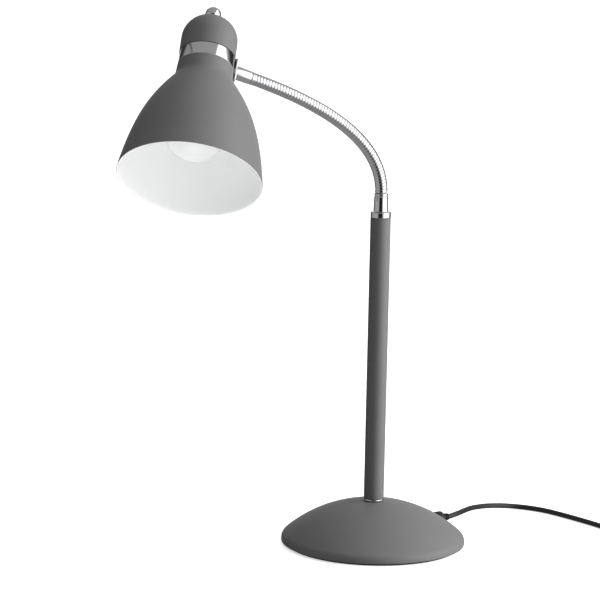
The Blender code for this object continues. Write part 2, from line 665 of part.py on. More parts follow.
# ---------------------------------------------------------------- head
def shade_outline():
    """The shade's outer side, from its neck down to the opening."""
    start_radius = HEAD_RADIUS - 0.2 * MM
    shoulder = start_radius + NECK_FLARE
    sin_s, cos_s = math.sin(SHADE_SHOULDER_SLOPE), math.cos(SHADE_SHOULDER_SLOPE)
    sin_r, cos_r = math.sin(SHADE_RIM_SLOPE), math.cos(SHADE_RIM_SLOPE)
    flank = bezier((shoulder, -SHOULDER_DEPTH),
                   (shoulder + SHADE_SHOULDER_PULL * sin_s,
                    -SHOULDER_DEPTH - SHADE_SHOULDER_PULL * cos_s),
                   (SHADE_RADIUS - SHADE_RIM_PULL * sin_r, -SHADE_DEPTH + SHADE_RIM_PULL * cos_r),
                   (SHADE_RADIUS, -SHADE_DEPTH), 7)
    return [(start_radius, -BAND_HEIGHT / 2 - GAP)] + flank


def cap_outline(inset, hole):
    """The cap from its top hole down to its edge, moved in by inset."""
    radius = HEAD_RADIUS - inset
    height = CAP_DOME - inset
    start = math.acos(hole / radius)
    dome = []
    for i in range(7):
        angle = start * (1 - i / 6)
        dome.append((radius * math.cos(angle), CAP_STRAIGHT + height * math.sin(angle)))
    return dome + [(radius, BAND_HEIGHT / 2 + GAP)]


def make_head(head):
    hole = STUD_RADIUS + GAP
    outer = shade_outline()
    turned("shade", outer + offset(outer, HEAD_WALL)[::-1], GREY_PAINT, 40, head)
    turned("lamp_cap", cap_outline(0, hole) + cap_outline(HEAD_WALL, hole)[::-1],
           GREY_PAINT, 28, head)
    band_radius = HEAD_RADIUS - BAND_INSET
    band = turned("chrome_band", tube_outline(band_radius, band_radius - BAND_THICKNESS,
                                              BAND_HEIGHT / 2, -BAND_HEIGHT / 2), CHROME, 48, head)
    combine(band, swivel_cutter("band_hole", 15 * MM, 40 * MM))
    sleeve_radius = band_radius - BAND_THICKNESS - 2 * GAP
    sleeve = turned("inner_sleeve",
                    tube_outline(sleeve_radius, sleeve_radius - SLEEVE_THICKNESS,
                                 SLEEVE_HEIGHT / 2, -SLEEVE_HEIGHT / 2), ZINC_STEEL, 32, head)
    combine(sleeve, swivel_cutter("sleeve_hole", 15 * MM, 40 * MM))
    outline = rounded_rectangle(BRACKET_HEIGHT, BRACKET_WIDTH, BRACKET_WIDTH * 0.35)
    across = Matrix.Translation(((BRACKET_INSIDE + BRACKET_OUTSIDE) / 2, 0, 0))
    flat_plate("bracket", CHROME, [outline, circle(SWIVEL_RADIUS + GAP)], BRACKET_THICKNESS,
               head, across @ Matrix.Rotation(math.radians(90), 4, "Y"))
    make_knob(head)


def make_knob(head):
    cap_top = CAP_STRAIGHT + CAP_DOME
    base = cap_top + GAP
    middle = base + KNOB_SINK
    lowest = math.degrees(math.asin(-KNOB_SINK / KNOB_RADIUS))
    hole = STUD_RADIUS + GAP
    depth = middle + 3.5 * MM
    outline = arc(0, middle, KNOB_RADIUS, 90, lowest, 10) + [(hole, base), (hole, depth),
                                                            (0, depth)]
    turned("knob", outline, CHROME, 24, head, None, False)
    stud_bottom = HOLDER_COVER_TOP - HOLDER_WALL - GAP
    flange_bottom = stud_bottom - 2 * MM
    stud = [(0, depth - GAP), (STUD_RADIUS, depth - GAP), (STUD_RADIUS, stud_bottom),
            (STUD_RADIUS * 2, stud_bottom), (STUD_RADIUS * 2, flange_bottom), (0, flange_bottom)]
    turned("knob_stud", stud, ZINC_STEEL, 16, head, None, False)


# ---------------------------------------------------------------- lampholder and bulb
def make_holder(head):
    inside = HOLDER_RADIUS - HOLDER_WALL
    turned("holder_body", tube_outline(HOLDER_RADIUS, inside, HOLDER_TOP, -HOLDER_BOTTOM,
                                       0.8 * MM), BLACK_PLASTIC, 32, head)
    cover_bottom = HOLDER_TOP + GAP
    hole = STUD_RADIUS + GAP
    shoulder = HOLDER_COVER_TOP - 8 * MM
    outer = [(9 * MM, HOLDER_COVER_TOP), (HOLDER_RADIUS - 2 * MM, HOLDER_COVER_TOP - 3 * MM),
             (HOLDER_RADIUS, shoulder), (HOLDER_RADIUS, cover_bottom)]
    inner = [(inside, cover_bottom), (inside, shoulder),
             (HOLDER_RADIUS - 2 * MM - HOLDER_WALL, HOLDER_COVER_TOP - 4 * MM),
             (9 * MM, HOLDER_COVER_TOP - HOLDER_WALL), (hole, HOLDER_COVER_TOP - HOLDER_WALL)]
    cover = turned("holder_cover", outer + inner + [(hole, HOLDER_COVER_TOP)], BLACK_PLASTIC,
                   32, head)
    wire_height = cover_bottom + 8 * MM
    start = HEAD @ Vector((inside - 4 * MM, 0, wire_height))
    end = HEAD @ Vector((HOLDER_RADIUS + 4 * MM, 0, wire_height))
    combine(cover, rod_cutter("wire_hole", WIRE_RADIUS + 2 * GAP, start, end, 12))
    block_radius = inside - GAP
    turned("contact_block", rod_outline(block_radius, cover_bottom + 4 * MM, HOLDER_TOP - GAP),
           CERAMIC, 24, head, None, False)
    screw_outer = inside - GAP
    turned("screw_shell", tube_outline(screw_outer, screw_outer - SCREW_WALL,
                                       HOLDER_TOP - 3 * MM, -HOLDER_BOTTOM + 2 * MM),
           BRASS, 24, head)
    contact = Matrix.Translation((0, 0, HOLDER_TOP - 2 * GAP - 0.3 * MM))
    block("centre_contact", BRASS, (12 * MM, 4 * MM, 0.5 * MM), head, contact)
    for number, side in enumerate((1, -1), 1):
        prism(f"terminal_screw_{number}", BRASS, 2 * MM, 2 * MM, 0, 12, head,
              Matrix.Translation((0, side * 6 * MM, cover_bottom + 4 * MM + GAP)))
    make_bulb(head)
    # the wire runs down between the holder and the swivel's inner end, then turns into it
    line = HOLDER_RADIUS + GAP + WIRE_RADIUS
    inward = SWIVEL_INNER_END + 3 * MM
    points = [Vector((inside - 3 * MM, 0, wire_height)), Vector((HOLDER_RADIUS, 0, wire_height)),
              Vector((line + 0.6 * MM, 0, wire_height - 3 * MM)),
              Vector((line, 0, wire_height - 9 * MM)), Vector((line, 0, 3 * MM)),
              Vector((line + 0.3 * MM, 0, 1.2 * MM)), Vector((SWIVEL_INNER_END + 1 * MM, 0, 0)),
              Vector((inward, 0, 0))]
    wire("head_wire", BLACK_PLASTIC, smooth_path(points, 1.2 * MM), WIRE_RADIUS, head)


def make_bulb(head):
    cap_top = HOLDER_TOP - 3.4 * MM
    cap_bottom = -HOLDER_BOTTOM - 3 * MM
    wall = 0.5 * MM
    outline = [(0, cap_top + 1.6 * MM), (4 * MM, cap_top + 1.6 * MM), (6 * MM, cap_top),
               (BULB_CAP_RADIUS - 1 * MM, cap_top - 1.5 * MM),
               (BULB_CAP_RADIUS, cap_top - 3 * MM), (BULB_CAP_RADIUS, cap_bottom),
               (BULB_CAP_RADIUS - wall, cap_bottom), (BULB_CAP_RADIUS - wall, cap_top - 3.5 * MM),
               (0, cap_top - 3.5 * MM)]
    turned("bulb_cap", outline, ZINC_STEEL, 24, head, None, False)
    neck_radius = BULB_CAP_RADIUS - wall - GAP
    neck_top = cap_bottom + 6 * MM
    leave = 42.0
    meet = (BULB_RADIUS * math.cos(math.radians(leave)),
            -BULB_MIDDLE + BULB_RADIUS * math.sin(math.radians(leave)))
    pull = 14 * MM
    side = bezier((neck_radius, cap_bottom),
                  (neck_radius, cap_bottom - pull),
                  (meet[0] - pull * math.sin(math.radians(leave)),
                   meet[1] + pull * math.cos(math.radians(leave))), meet, 4)
    outer = [(neck_radius, neck_top)] + side + arc(0, -BULB_MIDDLE, BULB_RADIUS, leave, -90, 6)[1:]
    inner = offset(outer, BULB_WALL)
    inner[-1] = (0, -BULB_MIDDLE - BULB_RADIUS + BULB_WALL)
    outer[-1] = (0, -BULB_MIDDLE - BULB_RADIUS)
    # an open bottle: from the tip's inside, up, over the neck's edge and down the outside
    turned("bulb_globe", inner[::-1] + outer, OPAL_GLASS, 20, head, None, False)


# ---------------------------------------------------------------- cord
def on_desk(point):
    """A place given in millimetres from the point under the gland's mouth."""
    mouth = gland_point(GLAND_LENGTH)
    return Vector((mouth.x, mouth.y, 0)) + Vector(point) * MM


def cord(name, start, leave, route, end, arrive, spacing):
    """A cord along a route, its two ends standing square to what they meet."""
    straight = 2 * MM
    middle = [start + leave * straight, *map(on_desk, route), end - arrive * straight]
    wire(name, BLACK_PLASTIC, [start, *smooth_path(middle, spacing), end], CORD_RADIUS)


def make_cord():
    spacing = 12 * MM
    along = heading(SWITCH_HEADING)
    switch_in = on_desk(SWITCH_START) + UP * SWITCH_CORD_HEIGHT - along * GAP
    switch_out = switch_in + along * (SWITCH_LENGTH + 2 * GAP)
    onward = heading(PLUG_HEADING)
    cord("cord_lead", gland_point(GLAND_LENGTH + GAP), gland_direction(), LEAD_OUT_ROUTE,
         switch_in, along, spacing)
    cord("cord_run", switch_out, along, RUN_ROUTE, on_desk(RUN_END), onward, spacing)
    cord("cord_tail", on_desk(TAIL_START), onward, TAIL_ROUTE, on_desk(PLUG_START) - onward * GAP,
         onward, spacing / 2)
    make_coil()
    make_switch()
    make_plug()


def make_coil():
    top = COIL_BOTTOM + COIL_HEIGHT
    corner = CORD_RADIUS
    outside = arc(COIL_OUTSIDE - corner, top - corner, corner, 90, 0, 2)
    outside += arc(COIL_OUTSIDE - corner, COIL_BOTTOM + corner, corner, 0, -90, 2)
    inside = arc(COIL_INSIDE + corner, COIL_BOTTOM + corner, corner, -90, -180, 2)
    inside += arc(COIL_INSIDE + corner, top - corner, corner, 180, 90, 2)
    turned("cord_coil", outside + inside, BLACK_PLASTIC, 28, None,
           Matrix.Translation(on_desk(COIL_CENTRE)))
    # the tie is straight and the coil's inside is round, so it needs this much more room
    inside_edge = math.sqrt(COIL_INSIDE ** 2 - (TIE_WIDTH / 2) ** 2)
    width = COIL_OUTSIDE - inside_edge + 2 * GAP
    height = COIL_HEIGHT + 2 * GAP
    hole = rounded_rectangle(width, height, corner, 2)
    band = rounded_rectangle(width + 2 * TIE_THICKNESS, height + 2 * TIE_THICKNESS,
                             corner + TIE_THICKNESS, 2)
    middle = (COIL_OUTSIDE + inside_edge) / 2
    centre = on_desk(COIL_CENTRE) + Vector((-middle, 0, COIL_BOTTOM + COIL_HEIGHT / 2))
    upright = Matrix.Translation(centre) @ Matrix.Rotation(math.radians(90), 4, "X")
    flat_plate("cord_tie", BLACK_PLASTIC, [band, hole], TIE_WIDTH, None, upright)


def switch_frame():
    """The switch's frame: +X along the cord, its middle above the desk at z = 0."""
    middle = on_desk(SWITCH_START) + heading(SWITCH_HEADING) * SWITCH_LENGTH / 2
    return Matrix.Translation(middle) @ Matrix.Rotation(SWITCH_HEADING, 4, "Z")


def make_switch():
    home = switch_frame()
    low = 0.2 * MM
    base_height = SWITCH_SPLIT - low
    base = block("switch_base", BLACK_PLASTIC, (SWITCH_LENGTH, SWITCH_WIDTH, base_height), None,
                 home @ Matrix.Translation((0, 0, low + base_height / 2)), 1.5 * MM)
    room = (ROCKER_HALF + 3 * MM) * 2
    well = block("rocker_well", BLACK_PLASTIC, (room, ROCKER_WIDTH + 2 * MM, base_height), None,
                 home @ Matrix.Translation((0, 0, low + SWITCH_WALL + base_height / 2)))
    combine(base, as_cutter(well))
    cover_height = SWITCH_HEIGHT - SWITCH_SPLIT - GAP
    cover = block("switch_cover", BLACK_PLASTIC, (SWITCH_LENGTH, SWITCH_WIDTH, cover_height),
                  None, home @ Matrix.Translation((0, 0, SWITCH_HEIGHT - cover_height / 2)),
                  2.5 * MM)
    pivot = home @ Vector((0, 0, ROCKER_PIVOT_HEIGHT))
    half = (home.to_3x3() @ Vector((0, 1, 0))) * (ROCKER_WIDTH / 2 + 0.5 * MM)
    sweep = math.hypot(ROCKER_HALF, SWITCH_HEIGHT + 0.8 * MM - ROCKER_PIVOT_HEIGHT) + GAP
    combine(cover, rod_cutter("rocker_window", sweep, pivot - half, pivot + half, 32))
    top = SWITCH_HEIGHT + 0.8 * MM - ROCKER_PIVOT_HEIGHT
    outline = [(-ROCKER_HALF, top), (0, top - 0.8 * MM), (ROCKER_HALF, top),
               (ROCKER_HALF + 0.8 * MM, top - 4 * MM), (ROCKER_HALF * 0.6, -4 * MM),
               (-ROCKER_HALF * 0.6, -4 * MM), (-ROCKER_HALF - 0.8 * MM, top - 4 * MM)]
    lie = home @ Matrix.Translation((0, 0, ROCKER_PIVOT_HEIGHT))
    lie = lie @ Matrix.Rotation(ROCKER_TILT, 4, "Y") @ Matrix.Rotation(math.radians(90), 4, "X")
    flat_plate("switch_rocker", BLACK_PLASTIC, [outline[::-1]], ROCKER_WIDTH, None, lie)


def make_plug():
    """A flat two-pin plug that narrows towards the cord."""
    half = PLUG_WIDTH / 2
    neck = PLUG_CORD_END / 2
    outline = [(0, neck), (PLUG_LENGTH * 0.30, neck + 1.5 * MM), (PLUG_LENGTH * 0.62, half - 1 * MM),
               (PLUG_LENGTH * 0.72, half), (PLUG_LENGTH, half - 3 * MM)]
    outline += [(x, -y) for x, y in outline[::-1]]
    home = Matrix.Translation(on_desk(PLUG_START)) @ Matrix.Rotation(PLUG_HEADING, 4, "Z")
    body = flat_plate("plug_body", BLACK_PLASTIC, [outline[::-1]], PLUG_THICKNESS - 0.4 * MM,
                      None, home)
    bevel = body.modifiers.new("rounded_edges", "BEVEL")
    bevel.width = 2.0 * MM
    bevel.segments = 2
    bevel.limit_method = "ANGLE"
    bevel.angle_limit = math.radians(60)
    for number, side in enumerate((1, -1), 1):
        root = home @ Matrix.Translation((PLUG_LENGTH + GAP, side * PIN_PITCH / 2, 0))
        prism(f"plug_pin_{number}", CHROME, PIN_RADIUS, PIN_LENGTH, 0, 12, None,
              root @ Matrix.Rotation(math.radians(90), 4, "Y"))


def main():
    make_base()
    make_post()
    make_neck()
    make_swivel()
    head = add_empty("head", HEAD)
    make_head(head)
    make_holder(head)
    make_cord()


main()
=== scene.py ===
# %% [markdown]
# # A gooseneck desk lamp
#
# A grey dome holds up a straight post.  A bendable chrome neck carries a bell shade,
# and a black mains cord leaves the back of the base.  The moving skeleton of the lamp
# comes in ready made, and this lesson dresses it: each visible piece is modelled again
# with its roundings, ridges and rims, and gets a material worked out from what the real
# one is made of.  Every size is in metres, with millimetres written as 12 * MM.

# %% Load the lamp's skeleton
import math

import bmesh
import bpy
from mathutils import Matrix, Vector


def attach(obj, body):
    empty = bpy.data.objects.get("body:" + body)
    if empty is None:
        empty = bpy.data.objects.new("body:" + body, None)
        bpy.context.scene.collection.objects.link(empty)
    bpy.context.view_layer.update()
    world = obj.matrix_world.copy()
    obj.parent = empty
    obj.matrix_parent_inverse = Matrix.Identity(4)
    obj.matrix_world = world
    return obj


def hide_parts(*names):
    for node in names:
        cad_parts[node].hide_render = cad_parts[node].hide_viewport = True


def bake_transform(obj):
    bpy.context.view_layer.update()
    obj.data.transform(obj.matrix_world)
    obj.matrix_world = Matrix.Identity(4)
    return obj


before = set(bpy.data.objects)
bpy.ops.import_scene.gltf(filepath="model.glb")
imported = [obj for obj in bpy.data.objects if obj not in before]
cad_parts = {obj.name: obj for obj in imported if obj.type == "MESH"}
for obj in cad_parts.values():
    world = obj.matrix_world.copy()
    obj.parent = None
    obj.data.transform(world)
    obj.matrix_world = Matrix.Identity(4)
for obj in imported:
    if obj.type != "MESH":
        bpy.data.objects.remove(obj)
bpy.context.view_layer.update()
MM = 0.001
UP = Vector((0, 0, 1))
GAP = 0.3 * MM                      # clearance between pieces that touch

# %% [markdown]
# ## The camera
#
# A product shot of a tall thin lamp is taken from well back with a long lens, so that
# the post stays straight.  The camera stands two and a half metres away, a little above
# the shade, and looks down by nine degrees.  It leans by one degree, as a camera held on
# a slightly tilted tripod does.

# %% Set up the camera
CAMERA_PLACE = Vector((-70.3, -2420.0, 623.5)) * MM
CAMERA_LENS = 161.0                 # millimetres on a 36 mm sensor
CAMERA_PITCH = math.radians(9.30)
CAMERA_LEAN = math.radians(1.15)
CAMERA_YAW = math.radians(0.036)    # a touch to the left of the post

forward = Vector((0, math.cos(CAMERA_PITCH), -math.sin(CAMERA_PITCH)))
level_up = Vector((0, math.sin(CAMERA_PITCH), math.cos(CAMERA_PITCH)))
level_right = Vector((1, 0, 0))
right = level_right * math.cos(CAMERA_LEAN) + level_up * math.sin(CAMERA_LEAN)
upward = -level_right * math.sin(CAMERA_LEAN) + level_up * math.cos(CAMERA_LEAN)

camera_data = bpy.data.cameras.new("camera")
camera_data.lens = CAMERA_LENS
camera_data.sensor_width = 36
camera = bpy.data.objects.new("camera", camera_data)
turn = Matrix((right, upward, -forward)).transposed().to_4x4()
camera.matrix_world = (Matrix.Translation(CAMERA_PLACE) @ Matrix.Rotation(CAMERA_YAW, 4, "Z")
                       @ turn)
bpy.context.scene.collection.objects.link(camera)
bpy.context.scene.camera = camera
print("camera", round((CAMERA_PLACE - Vector((0, 0, 0.25))).length, 2), "m from the post")

# %% [markdown]
# ## Floor, light and surroundings
#
# Chrome shows nothing but its surroundings, so the studio matters as much as the metal.
# A photographer lights such a lamp with one large soft box on the right and a weaker
# reflector on the left, and stands black cards beside the camera.  The bright box gives
# the white stripe on each chrome tube and the cards give the black one.  Here the
# surroundings are painted on the world, as bands that change with direction.
# One small function adds a node with its settings and links, and it serves every
# node tree in this lesson.  Colours are given as sRGB hex values, as on a paint chart,
# and one function turns them into the linear values that shaders work in.

# %% Write the functions that add a node and read a colour
def add_node(tree, kind, links=None, **settings):
    """Add a node; links maps its inputs to a value or to another node's output."""
    node = tree.nodes.new(kind)
    for name, value in settings.items():
        setattr(node, name, value)
    for name, value in (links or {}).items():
        socket = node.inputs[name]
        if isinstance(value, bpy.types.NodeSocket):
            tree.links.new(value, socket)
        else:
            socket.default_value = value
    return node


def linear(hex_colour):
    """An sRGB hex colour as the linear RGBA that shaders work in."""
    channels = [int(hex_colour[i:i + 2], 16) / 255 for i in (1, 3, 5)]
    return (*[c / 12.92 if c <= 0.04045 else ((c + 0.055) / 1.055) ** 2.4 for c in channels], 1)


# %% Choose what stands round the lamp
# (angle in degrees from the camera towards the right, brightness), going once round
STUDIO_BANDS = [
    (-180, 0.75), (-160, 0.60), (-148, 0.04), (-128, 0.04), (-118, 0.28), (-60, 0.42),
    (-34, 0.34), (-24, 0.015), (14, 0.015), (24, 0.50), (44, 1.9), (100, 1.9),
    (112, 0.40), (126, 0.03), (150, 0.04), (162, 0.60), (180, 0.75),
]
# (direction's share towards the right, brightness) of what hangs overhead
CEILING_BANDS = [
    (-1.0, 0.05), (-0.88, 0.05), (-0.84, 0.28), (-0.76, 0.26), (-0.73, 0.08), (-0.70, 0.30),
    (0.54, 0.36), (0.57, 0.45), (0.60, 0.25), (0.63, 1.6), (1.0, 1.6),
]


def fill_ramp(ramp, stops):
    """Set a colour ramp's stops to (position, brightness) pairs."""
    elements = ramp.color_ramp.elements
    while len(elements) < len(stops):
        elements.new(1.0)
    for element, (position, brightness) in zip(elements, stops):
        element.position = position
        element.color = (brightness, brightness, brightness, 1)


print(len(STUDIO_BANDS), "stops round the lamp,", len(CEILING_BANDS), "overhead")

# %% Read the direction that a ray looks in
world = bpy.data.worlds.new("studio")
bpy.context.scene.world = world
world.use_nodes = True
sky = world.node_tree
sky.nodes.clear()
where = add_node(sky, "ShaderNodeTexCoord")
parts = add_node(sky, "ShaderNodeSeparateXYZ", {"Vector": where.outputs["Generated"]})
depth = add_node(sky, "ShaderNodeMath", {0: parts.outputs["Y"], 1: -1.0}, operation="MULTIPLY")
angle = add_node(sky, "ShaderNodeMath", {0: parts.outputs["X"], 1: depth.outputs[0]},
                 operation="ARCTAN2")
around = add_node(sky, "ShaderNodeMapRange", {"Value": angle.outputs[0], "From Min": -math.pi,
                                              "From Max": math.pi})
side_to_side = add_node(sky, "ShaderNodeMapRange", {"Value": parts.outputs["X"],
                                                    "From Min": -1.0, "From Max": 1.0})
print("directions from", len(sky.nodes), "nodes")

# %% Paint what the chrome mirrors
BELOW_DESK = (0.30, 0.30, 0.30, 1)

bands = add_node(sky, "ShaderNodeValToRGB", {"Fac": around.outputs["Result"]})
fill_ramp(bands, [((degrees + 180) / 360, brightness) for degrees, brightness in STUDIO_BANDS])
overhead_bands = add_node(sky, "ShaderNodeValToRGB", {"Fac": side_to_side.outputs["Result"]})
fill_ramp(overhead_bands, [((x + 1) / 2, brightness) for x, brightness in CEILING_BANDS])
high = add_node(sky, "ShaderNodeMapRange", {"Value": parts.outputs["Z"], "From Min": 0.42,
                                            "From Max": 0.60})
low = add_node(sky, "ShaderNodeMapRange", {"Value": parts.outputs["Z"], "From Min": -0.35,
                                           "From Max": -0.60})
mirrored_high = add_node(sky, "ShaderNodeMix", {"Factor": high.outputs["Result"],
                                                "A": bands.outputs["Color"],
                                                "B": overhead_bands.outputs["Color"]},
                         data_type="RGBA")
mirrored = add_node(sky, "ShaderNodeMix", {"Factor": low.outputs["Result"],
                                           "A": mirrored_high.outputs["Result"],
                                           "B": BELOW_DESK}, data_type="RGBA")
print("mirrored studio ready")

# %% [markdown]
# A matt coat gathers light from half the room at once, so it needs no bands.  For it the
# room is dark on the left and bright on the right, bright overhead, and dimmer from
# below, where light only comes back from the desk.

# %% Paint the softer sky that lights the matt pieces
CEILING_LIGHT = (0.95, 0.95, 0.95, 1)
DESK_LIGHT = (0.45, 0.45, 0.45, 1)

sideways = add_node(sky, "ShaderNodeMapRange", {"Value": parts.outputs["X"], "From Min": -0.3,
                                                "From Max": 1.0, "To Min": 0.10, "To Max": 1.3},
                    interpolation_type="SMOOTHSTEP")
overhead = add_node(sky, "ShaderNodeMapRange", {"Value": parts.outputs["Z"], "From Min": 0.55,
                                                "From Max": 0.85, "To Max": 1.0})
under = add_node(sky, "ShaderNodeMapRange", {"Value": parts.outputs["Z"], "From Min": -0.25,
                                             "From Max": -0.55, "To Max": 1.0})
lit_above = add_node(sky, "ShaderNodeMix", {"Factor": overhead.outputs["Result"],
                                            "A": sideways.outputs["Result"],
                                            "B": CEILING_LIGHT}, data_type="RGBA")
lit_round = add_node(sky, "ShaderNodeMix", {"Factor": under.outputs["Result"],
                                            "A": lit_above.outputs["Result"],
                                            "B": DESK_LIGHT}, data_type="RGBA")
print("matt light ready")

# %% Give each kind of ray its own sky
path = add_node(sky, "ShaderNodeLightPath")
seen = add_node(sky, "ShaderNodeMix", {"Factor": path.outputs["Is Glossy Ray"],
                                       "A": lit_round.outputs["Result"],
                                       "B": mirrored.outputs["Result"]}, data_type="RGBA")
backdrop = add_node(sky, "ShaderNodeMix", {"Factor": path.outputs["Is Camera Ray"],
                                           "A": seen.outputs["Result"], "B": (1, 1, 1, 1)},
                    data_type="RGBA")
light = add_node(sky, "ShaderNodeBackground", {"Color": backdrop.outputs["Result"]})
add_node(sky, "ShaderNodeOutputWorld", {"Surface": light.outputs["Background"]})
bpy.context.scene.view_settings.view_transform = "Standard"     # so that white stays white
print("studio of", len(sky.nodes), "nodes")

# %% [markdown]
# The key light is a large soft box, high on the right.  Its size is what makes the
# shadows soft.  The painted studio already holds the box that chrome reflects, so the
# lamp's own is left out of reflections and isn't seen twice.

# %% Hang the soft box
def soft_box(name, place, target, width, height, watts):
    """A rectangular light at a place, turned towards a target, unseen by mirrors."""
    data = bpy.data.lights.new(name, "AREA")
    data.shape = "RECTANGLE"
    data.size = width
    data.size_y = height
    data.energy = watts
    box = bpy.data.objects.new(name, data)
    aim = (Vector(target) - Vector(place)).to_track_quat("-Z", "Y").to_matrix().to_4x4()
    box.matrix_world = Matrix.Translation(place) @ aim
    box.visible_glossy = False
    bpy.context.scene.collection.objects.link(box)
    return box


key_box = soft_box("key_box", (2.3, -0.40, 0.9), (0, 0, 0.25), 1.2, 1.4, 80)
print("key box of", key_box.data.energy, "watts")

# %% [markdown]
# ## Placing and finishing a piece
#
# The lamp is mostly turned on a lathe, so most pieces are one outline spun round an
# axis.  The outline lists (radius, height) from the top down along the outer side.  Its
# hard corners are cut back to small arcs first, because no real edge is sharp and the
# arc is what catches the light.  The vertices are written straight into the mesh, which
# gives closed poles and seams and even rings of quads, and the piece's place goes into
# its vertices, so every finished object sits at the origin.

# %% Write the functions that turn and place a piece
def rounded(outline, cut, steps=4, closed=True):
    """Replace each corner of an outline by a small arc; cut is its size or a size for each."""
    count = len(outline)
    cuts = cut if isinstance(cut, (list, tuple)) else [cut] * count
    smooth = []
    for i in range(count):
        corner = Vector(outline[i])
        open_end = not closed and i in (0, count - 1)
        if cuts[i] == 0 or open_end:
            smooth.append(tuple(corner))
            continue
        before = Vector(outline[i - 1]) - corner
        after = Vector(outline[(i + 1) % count]) - corner
        size = min(cuts[i], before.length * 0.48, after.length * 0.48)
        start = corner + before.normalized() * size
        end = corner + after.normalized() * size
        for k in range(steps + 1):
            t = k / steps
            smooth.append(tuple(start * (1 - t) ** 2 + corner * 2 * t * (1 - t) + end * t ** 2))
    return smooth


def lathe(name, outline, steps=96, matrix=None, closed=True):
    """Spin an outline about local Z into a closed mesh with single points on the axis."""
    mesh = bmesh.new()
    rings = []
    for radius, height in outline:
        if abs(radius) < 1e-7:
            rings.append([mesh.verts.new((0, 0, height))])
            continue
        angles = [2 * math.pi * k / steps for k in range(steps)]
        rings.append([mesh.verts.new((radius * math.cos(a), radius * math.sin(a), height))
                      for a in angles])
    pairs = list(zip(rings, rings[1:]))
    if closed:
        pairs.append((rings[-1], rings[0]))
    for upper, lower in pairs:
        for k in range(steps):
            following = (k + 1) % steps
            corners = [upper[k % len(upper)], lower[k % len(lower)],
                       lower[following % len(lower)], upper[following % len(upper)]]
            unique = list(dict.fromkeys(corners))
            if len(unique) > 2:
                mesh.faces.new(unique)
    return into_object(name, mesh, matrix)


def into_object(name, mesh, matrix=None, sharp=38):
    """Turn a bmesh into an object at the origin, shaded smooth between its sharp edges."""
    bmesh.ops.transform(mesh, matrix=matrix or Matrix(), verts=mesh.verts)
    bmesh.ops.recalc_face_normals(mesh, faces=mesh.faces)
    data = bpy.data.meshes.new(name)
    mesh.to_mesh(data)
    mesh.free()
    data.shade_smooth()
    data.set_sharp_from_angle(angle=math.radians(sharp))
    piece = bpy.data.objects.new(name, data)
    bpy.context.scene.collection.objects.link(piece)
    return piece


def dress(piece, material, body, slot, *stands_for):
    """Give a piece its material, the body it moves with and the skeleton pieces it hides."""
    if not piece.data.materials:
        piece.data.materials.append(material)
    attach(piece, body)
    if stands_for:
        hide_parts(*stands_for)
    print(f"{piece.name}: {len(piece.data.polygons)} faces")
    return piece


# %% [markdown]
# ## The finishes
#
# Each finish starts from how the real surface was made.  A pattern is drawn at its real
# size: the ripple of a sprayed coat is half a millimetre across, the pebbles of moulded
# plastic a third of one.  All patterns read Object coordinates, so they stay on a piece
# when it moves.

# %% Write the function that starts a finish
def start_finish(name, colour, roughness, **settings):
    """A material with one Principled shader; returns the material, its tree and the shader."""
    material = bpy.data.materials.new(name)
    material.use_nodes = True
    tree = material.node_tree
    tree.nodes.clear()
    values = {"Base Color": linear(colour), "Roughness": roughness, **settings}
    shader = add_node(tree, "ShaderNodeBsdfPrincipled", values)
    add_node(tree, "ShaderNodeOutputMaterial", {"Surface": shader.outputs["BSDF"]})
    return material, tree, shader


print("start_finish is ready")

# %% [markdown]
# The dome, the post and the head are powder coated: dry polymer powder, charged so that
# it clings to the steel, and baked until it flows together.  It stays satin, because it
# never levels fully and keeps a ripple like orange peel, about a millimetre across.  The
# inside of the shade is a whiter and glossier coat of the same kind.  Noise at the
# ripple's size gives the bumps, and a broad one shifts the tone and the gloss a little.

# %% Spray the grey coat and the white one inside the shade
def powder_coat(name, dark, light, roughness, ripple):
    """A sprayed and baked coat with a ripple of the given size."""
    material, tree, shader = start_finish(name, light, roughness)
    place = add_node(tree, "ShaderNodeTexCoord")
    peel = add_node(tree, "ShaderNodeTexNoise", {"Vector": place.outputs["Object"],
                                                 "Scale": 1 / ripple, "Detail": 3.0})
    cloud = add_node(tree, "ShaderNodeTexNoise", {"Vector": place.outputs["Object"],
                                                  "Scale": 1 / (30 * MM), "Detail": 2.0})
    tint = add_node(tree, "ShaderNodeMix", {"Factor": cloud.outputs["Fac"], "A": linear(dark),
                                            "B": linear(light)}, data_type="RGBA")
    gloss = add_node(tree, "ShaderNodeMapRange",
                     {"Value": cloud.outputs["Fac"], "From Min": 0.3, "From Max": 0.7,
                      "To Min": roughness - 0.04, "To Max": roughness + 0.04})
    bump = add_node(tree, "ShaderNodeBump", {"Height": peel.outputs["Fac"],
                                             "Distance": 0.02 * MM, "Strength": 1.0})
    tree.links.new(tint.outputs["Result"], shader.inputs["Base Color"])
    tree.links.new(gloss.outputs["Result"], shader.inputs["Roughness"])
    tree.links.new(bump.outputs["Normal"], shader.inputs["Normal"])
    return material


# satin mid grey, matt enough to show the dome's shading as one soft sweep
grey_coat = powder_coat("grey_powder_coat", "#656565", "#6B6B6B", 0.52, 0.9 * MM)
# nearly pure white and a little glossier, to throw the bulb's light out
white_coat = powder_coat("white_reflector_enamel", "#F4F5F5", "#F8F9F9", 0.42, 1.4 * MM)
print(grey_coat.name, "and", white_coat.name)

# %% [markdown]
# The bright parts are plated.  A plated layer copies the metal below it, so turned
# pieces are true mirrors and drawn wire is a little hazy.  Metallic 1 and a low
# roughness make the mirror, the haze comes from noise a few millimetres wide, and zinc
# gets the faint crystal relief that a rough bath leaves.

